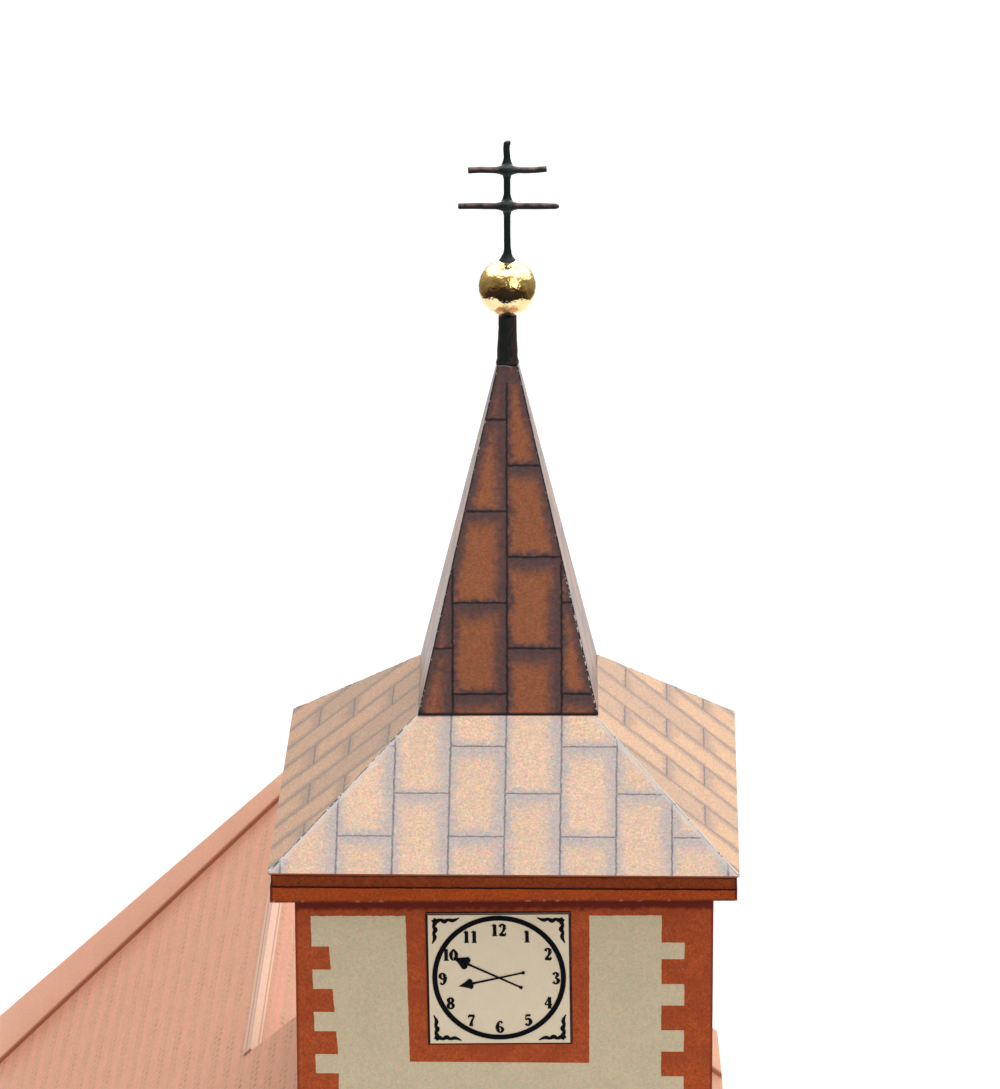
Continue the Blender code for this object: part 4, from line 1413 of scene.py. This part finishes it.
def window_trim(name, width, height, place, sizes, frame_card, brick):
    """Glazing bars, a raised surround and a sill on a printed window.

    Its place is its side, how far along it is, the wall's distance from the axis, and its foot.
    """
    side, along, wall, low = place
    glass_face = wall + GAP + WINDOW_CARD
    panes = glazing_outlines(width - 2 * GAP, height, sizes.frame * 0.45, sizes.bar, 3)
    on_glass = (side, along, glass_face + GAP / 3, low)
    glue_card(f"{name}_bars", panes, 1.2 * THIN_PAPER, on_glass, frame_card)
    half = width / 2
    spring = height - half
    lap = sizes.frame * 0.2
    ring = [arch(half + sizes.frame, -lap, spring, 18), arch(half + GAP, GAP, spring)]
    on_wall = (side, along, wall + GAP / 3, low)
    glue_card(f"{name}_surround", ring, CARD, on_wall, brick, 0.00003)
    wide = half + sizes.frame * 1.25
    board = box_outline(-wide, -sizes.frame * 0.55, wide, 0.0)
    under = (side, along, wall + GAP / 3, low - lap - GAP)
    glue_card(f"{name}_sill", [board], 2.4 * CARD, under, brick, 0.00005)


def rose_window(glass_card, frame_card):
    """The round window at the back: a glass card with a pierced card over it."""
    low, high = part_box("nave_back_window")
    radius = (high.x - low.x) / 2
    centre = (low + high) / 2
    rim = round_outline(radius, steps=36)
    petals = round_outline(radius * 0.55, steps=6)
    # One petal stands straight up, and one straight down
    turned = [Matrix.Rotation(math.pi / 6, 2) @ Vector(petal) for petal in petals]
    holes = [round_outline(radius * 0.25, petal) for petal in turned]
    holes.append(round_outline(radius * 0.2))
    at_glass = ("back", -centre.x, low.y + 0.00001, centre.z)
    glue_card("rose_glass", [rim], 0.8 * THIN_PAPER, at_glass, glass_card)
    at_front = ("back", -centre.x, high.y - THIN_PAPER, centre.z)
    rose = [rim, *holes]
    tracery = glue_card("rose_tracery", rose, THIN_PAPER, at_front, frame_card)
    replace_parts(tracery, "nave_back_window")


def door_boards(finish):
    """Boards with a little gap between, their tops cut to the round head."""
    gap = 0.00006
    foot = 0.0004
    rounding = 0.00003
    thickness = 1.4 * THIN_PAPER
    half = (DOOR_HIGH.x - DOOR_LOW.x) / 2
    spring = DOOR_HIGH.z - half
    for number in range(DOOR_BOARDS):
        left = -half + number * BOARD_WIDTH + gap
        right = left + BOARD_WIDTH - 2 * gap
        outline = [(left, foot), (right, foot)]
        for step in range(5):
            x = right + (left - right) * step / 4
            outline.append((x, spring + math.sqrt(half * half - x * x) - gap))
        place = ("front", 0.0, GAP / 3 - DOOR_LOW.y, 0.0)
        name = f"door_board_{number + 1}"
        glue_card(name, [outline], thickness, place, finish, rounding)


def door_iron(finish):
    """Two strap hinges on each leaf with forked ends, the strip between the leaves, and a ring."""
    half = (DOOR_HIGH.x - DOOR_LOW.x) / 2 / MM
    hinge_heights = (4.2, 11.6)
    strokes = []
    for side in (-1, 1):
        for height in hinge_heights:
            edge = side * (half - 0.25)
            inner = side * 1.5
            strap = ((edge, 0.0, 0.3), (edge * 0.75, 0.0, 0.22), (inner, 0.0, 0.12))
            fork = ((inner, -0.28, 0.1), (inner * 0.8, 0.0, 0.16), (inner, 0.28, 0.1))
            for shape in (strap, fork):
                strokes.append([(x, height + lift, 0, thick) for x, lift, thick in shape])
    strokes.append([(0.0, 0.6, 0, 0.16), (0.0, DOOR_HIGH.z / MM - 0.5, 0, 0.16)])
    straps = drawn(strokes, flat=0.3, sides=1)
    stand_on(straps, "front", 0.0, 0.00016 - DOOR_LOW.y, 0.0)
    settle(straps, "door_straps", finish)
    ring = [(x, y, 0, 0.08) for x, y in round_outline(0.42, (0.9, 8.0), 10)]
    handle = drawn([ring], steps=3, closed=True)
    stand_on(handle, "front", 0.0, 0.00024 - DOOR_LOW.y, 0.0)
    settle(handle, "door_ring", finish)


def door_surround(brick):
    """The raised surround of the door, and the step before it."""
    half = (DOOR_HIGH.x - DOOR_LOW.x) / 2
    spring = DOOR_HIGH.z - half
    surround_thickness = 0.00034
    surround_width = 0.0017
    step_depth = 0.0014
    step_height = 0.0009
    step_overlap = 0.0006
    step_stand_off = 0.00042
    wide = half + surround_width
    # A rounded edge stands off its outline, so each outline starts that far above the ground
    edge = 0.00004
    outer = arch(wide, edge, spring, 24)
    inner = arch(half + GAP, edge, spring, 20)
    outline = [inner[0], outer[0], *outer[:1:-1], outer[1], *inner[1:]]
    place = ("front", 0.0, TOWER_HALF + GAP / 3, 0.0)
    glue_card("door_surround", [outline], surround_thickness, place, brick, edge)
    edge = 0.00008
    wide += step_overlap
    outline = box_outline(-wide, edge, wide, step_height)
    place = ("front", 0.0, TOWER_HALF + step_stand_off, 0.0)
    glue_card("door_step", [outline], step_depth, place, brick, edge)


def softbox(name, place, aim, size, power, colour=(1.0, 1.0, 1.0)):
    """A round soft lamp that points at a place."""
    lamp = added(bpy.ops.object.light_add, type="AREA", location=place)
    lamp.name = name
    lamp.data.shape = "DISK"
    lamp.data.size = size
    lamp.data.energy = power
    lamp.data.color = colour
    lamp.rotation_euler = (Vector(aim) - Vector(place)).to_track_quat("-Z", "Y").to_euler()


# Brightness of the room from its darkest side to its brightest, as (place on the ramp, colour)
SOFT_DAYLIGHT = ((0.3, (0.56, 0.53, 0.49)), (0.62, (0.84, 0.86, 0.9)))
# What polished metal mirrors: a dark room in front, bright paper above and behind
MIRRORED_ROOM = (
    (0.0, (0.004, 0.004, 0.005)),
    (0.32, (0.012, 0.009, 0.008)),
    (0.42, (0.05, 0.035, 0.02)),
    (0.6, (0.09, 0.08, 0.045)),
    (0.7, (0.15, 0.13, 0.08)),
    (0.77, (0.62, 0.58, 0.5)),
    (0.84, (1.0, 1.0, 0.98)),
    (0.95, (0.62, 0.58, 0.5)),
)


def daylight_ramp(tree, direction, stops, strength):
    """A colour that changes from one side of the room to the other, along a direction."""
    place = tree.nodes.new("ShaderNodeTexCoord")
    toward = tree.nodes.new("ShaderNodeVectorMath")
    toward.operation = "DOT_PRODUCT"
    toward.inputs[1].default_value = direction
    lift = tree.nodes.new("ShaderNodeMath")
    lift.operation = "ADD"
    lift.inputs[1].default_value = 0.5
    ramp = tree.nodes.new("ShaderNodeValToRGB")
    ramp.color_ramp.interpolation = "EASE"
    while len(ramp.color_ramp.elements) < len(stops):
        ramp.color_ramp.elements.new(0.5)
    for element, (position, _) in zip(ramp.color_ramp.elements, stops):
        element.position = position
    for element, (_, colour) in zip(ramp.color_ramp.elements, stops):
        element.color = (*colour, 1.0)
    bright = tree.nodes.new("ShaderNodeVectorMath")
    bright.operation = "SCALE"
    bright.inputs["Scale"].default_value = strength
    tree.links.new(place.outputs["Generated"], toward.inputs[0])
    tree.links.new(toward.outputs["Value"], lift.inputs[0])
    tree.links.new(lift.outputs[0], ramp.inputs["Fac"])
    tree.links.new(ramp.outputs["Color"], bright.inputs[0])
    return bright.outputs[0]


def studio_light():
    """Daylight from all round, darker towards the room in front, and three large soft lamps."""
    world = bpy.data.worlds.new("studio")
    bpy.context.scene.world = world
    world.use_nodes = True
    tree = world.node_tree
    background = tree.nodes["Background"]
    backdrop = tree.nodes.new("ShaderNodeBackground")
    backdrop.inputs["Color"].default_value = (1.0, 1.0, 0.99, 1.0)
    backdrop.inputs["Strength"].default_value = 1.0
    path = tree.nodes.new("ShaderNodeLightPath")
    choose = tree.nodes.new("ShaderNodeMixShader")
    room = daylight_ramp(tree, (0.05, 0.5, 0.45), SOFT_DAYLIGHT, 0.75)
    mirrored = daylight_ramp(tree, (0.03, 0.213, 0.42), MIRRORED_ROOM, 3.0)
    seen = tree.nodes.new("ShaderNodeMix")
    seen.data_type = "RGBA"
    tree.links.new(path.outputs["Is Glossy Ray"], seen.inputs[0])
    tree.links.new(room, seen.inputs[6])
    tree.links.new(mirrored, seen.inputs[7])
    tree.links.new(seen.outputs[2], background.inputs["Color"])
    background.inputs["Strength"].default_value = 1.0
    tree.links.new(path.outputs["Is Camera Ray"], choose.inputs[0])
    tree.links.new(background.outputs[0], choose.inputs[1])
    tree.links.new(backdrop.outputs[0], choose.inputs[2])
    tree.links.new(choose.outputs[0], tree.nodes["World Output"].inputs["Surface"])
    softbox("lamp_overhead", (0.12, -0.05, 1.15), (0.0, 0.0, 0.08), 0.6, 6.0)
    softbox("lamp_front", (0.6, -0.9, 0.75), (0.0, 0.0, 0.09), 0.8, 2.6, (1.0, 0.96, 0.9))
    softbox("lamp_back", (0.1, 1.3, 1.1), (0.0, 0.75, 0.0), 0.8, 9.0)


def pale_floor():
    """A pale sheet under the model, which runs much farther to the back than to the front."""
    floor = added(bpy.ops.mesh.primitive_plane_add, size=1.0, location=(0, 1.37, 0))
    floor.name = "floor"
    floor.scale = (0.42, 3.0, 1.0)
    finish = Finish("pale floor", 0.9, specular=0.1)
    colour = finish.shaded((0.93, 0.93, 0.92), 0.98 + finish.noise(90.0, 2.0) * 0.04)
    floor.data.materials.append(finish.cover(colour))
    apply_place()


def photo_camera():
    """Looks at the model from where the photo was taken."""
    camera = added(bpy.ops.object.camera_add, location=CAMERA_PLACE)
    camera.name = "camera"
    turn = Matrix.Rotation(-CAMERA_YAW, 4, "Z")
    tilt = Matrix.Rotation(math.pi / 2 - CAMERA_PITCH, 4, "X")
    roll = Matrix.Rotation(CAMERA_ROLL, 4, "Z")
    camera.rotation_euler = (turn @ tilt @ roll).to_euler()
    camera.data.sensor_width = CAMERA_SENSOR
    camera.data.lens = CAMERA_LENS
    camera.data.clip_start = 0.01
    camera.data.clip_end = 20.0
    bpy.context.scene.camera = camera


def panel_values(context):
    """The sizes and colours in the panel."""
    return context.scene.church_sizes, context.scene.church_colours


class CHURCH_OT_walls(Operator):
    """Prints the tower's walls and cornice, and glues the strip round the cornice"""

    bl_idname = "church.walls"
    bl_label = "Tower walls and cornice"

    def execute(self, context):
        sizes, colours = panel_values(context)
        coat(tower_wall_finish(sizes, colours), *[f"tower_{side}_wall" for side in SIDES])
        cornice = cornice_finish(colours)
        coat(cornice, *[f"cornice_{side}" for side in SIDES])
        cornice_strip(sizes, cornice)
        return {"FINISHED"}


class CHURCH_OT_nave_walls(Operator):
    """Prints the nave's walls and gables"""

    bl_idname = "church.nave_walls"
    bl_label = "Nave walls and gables"

    def execute(self, context):
        sizes, colours = panel_values(context)
        front, back = NAVE_FRONT / MM, NAVE_BACK / MM
        left, right = NAVE_LEFT / MM, TOWER_HALF / MM
        finish = nave_wall_finish("printed left wall", sizes, colours, -back, -front)
        coat(finish, "nave_left_wall")
        finish = nave_wall_finish("printed right wall", sizes, colours, right, back)
        coat(finish, "nave_right_wall")
        finish = nave_wall_finish("printed front gable", sizes, colours, left, -right, 1)
        coat(finish, "nave_front_wall")
        finish = nave_wall_finish("printed back gable", sizes, colours, -right, -left, -1)
        coat(finish, "nave_back_wall")
        coat(plain_finish("tile pink card", colours.tile), "roof_cheek")
        return {"FINISHED"}


class CHURCH_OT_lower_roof(Operator):
    """Prints the slabs of the lower roof with painted sheen and shade, and rubs its folded edges and
    paints light and shade on them
    """

    bl_idname = "church.lower_roof"
    bl_label = "Lower roof"

    def execute(self, context):
        sizes, colours = panel_values(context)
        coat(slab_finish(sizes, colours), *[f"tower_roof_{side}" for side in SIDES])
        # The rubbed edge also stands for a painted highlight on the lit hips, and the inked one for
        # painted shade on the others
        rubbed = worn_finish("rubbed card edge", colours, 1.0)
        inked = worn_finish("inked card edge", colours, 0.1)
        hip_edges(rubbed, inked)
        return {"FINISHED"}


class CHURCH_OT_spire(Operator):
    """Prints the copper sheets of the spire, and sets the stick and the ball on it"""

    bl_idname = "church.spire"
    bl_label = "Spire, stick and ball"

    def execute(self, context):
        sizes, colours = panel_values(context)
        coat(sheet_finish(sizes, colours), *[f"spire_{side}" for side in SIDES])
        stick(wood_finish(colours))
        glue_thread(glue_finish())
        gilt_ball(gilt_finish(colours))
        return {"FINISHED"}


class CHURCH_OT_cross(Operator):
    """Solders the cross"""

    bl_idname = "church.cross"
    bl_label = "Cross"

    def execute(self, context):
        soldered_cross(wire_finish(context.scene.church_colours))
        return {"FINISHED"}


class CHURCH_OT_dials(Operator):
    """Prints the clock panel and inks the ring, numerals, hands and ornaments of all four dials"""

    bl_idname = "church.dials"
    bl_label = "Clock dials"

    def execute(self, context):
        sizes, colours = panel_values(context)
        coat(dial_card_finish(colours), "clock_panel_front")
        ink = ink_finish(colours)
        dial_ring(sizes, ink)
        dial_numerals(sizes, ink)
        dial_hands(sizes, ink)
        dial_scrolls(sizes, ink)
        return {"FINISHED"}


class CHURCH_OT_windows(Operator):
    """Prints the windows and glues on their bars, surrounds and sills"""

    bl_idname = "church.windows"
    bl_label = "Windows"

    def execute(self, context):
        sizes, colours = panel_values(context)
        glass = glass_finish(colours)
        pale = plain_finish("cream trim", colours.cream, 0.6)
        brick = trim_finish("brick red trim", colours)
        walls = {
            "tower_front_window": ("front", TOWER_HALF),
            "tower_right_window": ("right", TOWER_HALF),
            "nave_front_window": ("front", -NAVE_FRONT),
        }
        walls.update({f"nave_left_window_{n}": ("left", -NAVE_LEFT) for n in (1, 2, 3)})
        walls.update({f"nave_right_window_{n}": ("right", TOWER_HALF) for n in (1, 2)})
        for node, (side, wall) in walls.items():
            coat(glass, node)
            low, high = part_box(node)
            turn = Matrix.Rotation(-SIDES.index(side) * math.pi / 2, 4, "Z")
            along = (turn @ ((low + high) / 2)).x
            width = max(high.x - low.x, high.y - low.y)
            place = (side, along, wall, low.z)
            name = node.replace("window", "glazing")
            window_trim(name, width, high.z - low.z, place, sizes, pale, brick)
        rose_window(glass, pale)
        return {"FINISHED"}


class CHURCH_OT_door(Operator):
    """Boards the door, and adds its straps, ring, surround and step"""

    bl_idname = "church.door"
    bl_label = "Door"

    def execute(self, context):
        _, colours = panel_values(context)
        boards = board_finish(colours)
        coat(boards, "tower_door")
        brick = trim_finish("brick red surround", colours)
        door_boards(boards)
        door_iron(wire_finish(colours))
        door_surround(brick)
        return {"FINISHED"}


class CHURCH_OT_nave_roof(Operator):
    """Prints the nave's tiles and the strip along its ridge"""

    bl_idname = "church.nave_roof"
    bl_label = "Nave roof"

    def execute(self, context):
        sizes, colours = panel_values(context)
        # The last number is the painted shade of each slope
        left = tile_finish("printed tiles, left", sizes, colours, LEFT_PITCH, -1, 0.88)
        right = tile_finish("printed tiles, right", sizes, colours, RIGHT_PITCH, 1, 0.84)
        coat(left, "nave_roof_left")
        coat(right, "nave_roof_right")
        coat(cap_finish(colours), "ridge_cap")
        return {"FINISHED"}


class CHURCH_OT_base_cards(Operator):
    """Leaves the floor cards bare"""

    bl_idname = "church.base_cards"
    bl_label = "Floor cards"

    def execute(self, context):
        bare = plain_finish("bare card", context.scene.church_colours.card)
        coat(bare, "tower_floor", "nave_floor")
        return {"FINISHED"}


class CHURCH_OT_stage(Operator):
    """Adds the floor, the lights and the camera"""

    bl_idname = "church.stage"
    bl_label = "Floor, light and camera"

    def execute(self, context):
        context.scene.view_settings.view_transform = "Standard"
        pale_floor()
        studio_light()
        photo_camera()
        return {"FINISHED"}


STEPS = (
    CHURCH_OT_walls,
    CHURCH_OT_nave_walls,
    CHURCH_OT_lower_roof,
    CHURCH_OT_spire,
    CHURCH_OT_cross,
    CHURCH_OT_dials,
    CHURCH_OT_windows,
    CHURCH_OT_door,
    CHURCH_OT_nave_roof,
    CHURCH_OT_base_cards,
    CHURCH_OT_stage,
)


class CHURCH_PT_panel(Panel):
    """Lists the steps, the sizes and the colours"""

    bl_idname = "CHURCH_PT_panel"
    bl_label = "Card church"
    bl_space_type = "VIEW_3D"
    bl_region_type = "UI"
    bl_category = "Church"

    def draw(self, context):
        for step in STEPS:
            self.layout.operator(step.bl_idname)
        for group in (context.scene.church_sizes, context.scene.church_colours):
            box = self.layout.box()
            for name in group.__annotations__:
                box.prop(group, name)


CLASSES = (ChurchSizes, ChurchColours, *STEPS, CHURCH_PT_panel)


def register():
    for entry in CLASSES:
        bpy.utils.register_class(entry)
    bpy.types.Scene.church_sizes = PointerProperty(type=ChurchSizes)
    bpy.types.Scene.church_colours = PointerProperty(type=ChurchColours)


def unregister():
    del bpy.types.Scene.church_colours
    del bpy.types.Scene.church_sizes
    for entry in reversed(CLASSES):
        bpy.utils.unregister_class(entry)


def main():
    """Runs every step in order, as the panel's buttons do, and keeps the sizes."""
    register()
    for step in STEPS:
        family, name = step.bl_idname.split(".")
        getattr(getattr(bpy.ops, family), name)()


if __name__ == "__main__":
    main()
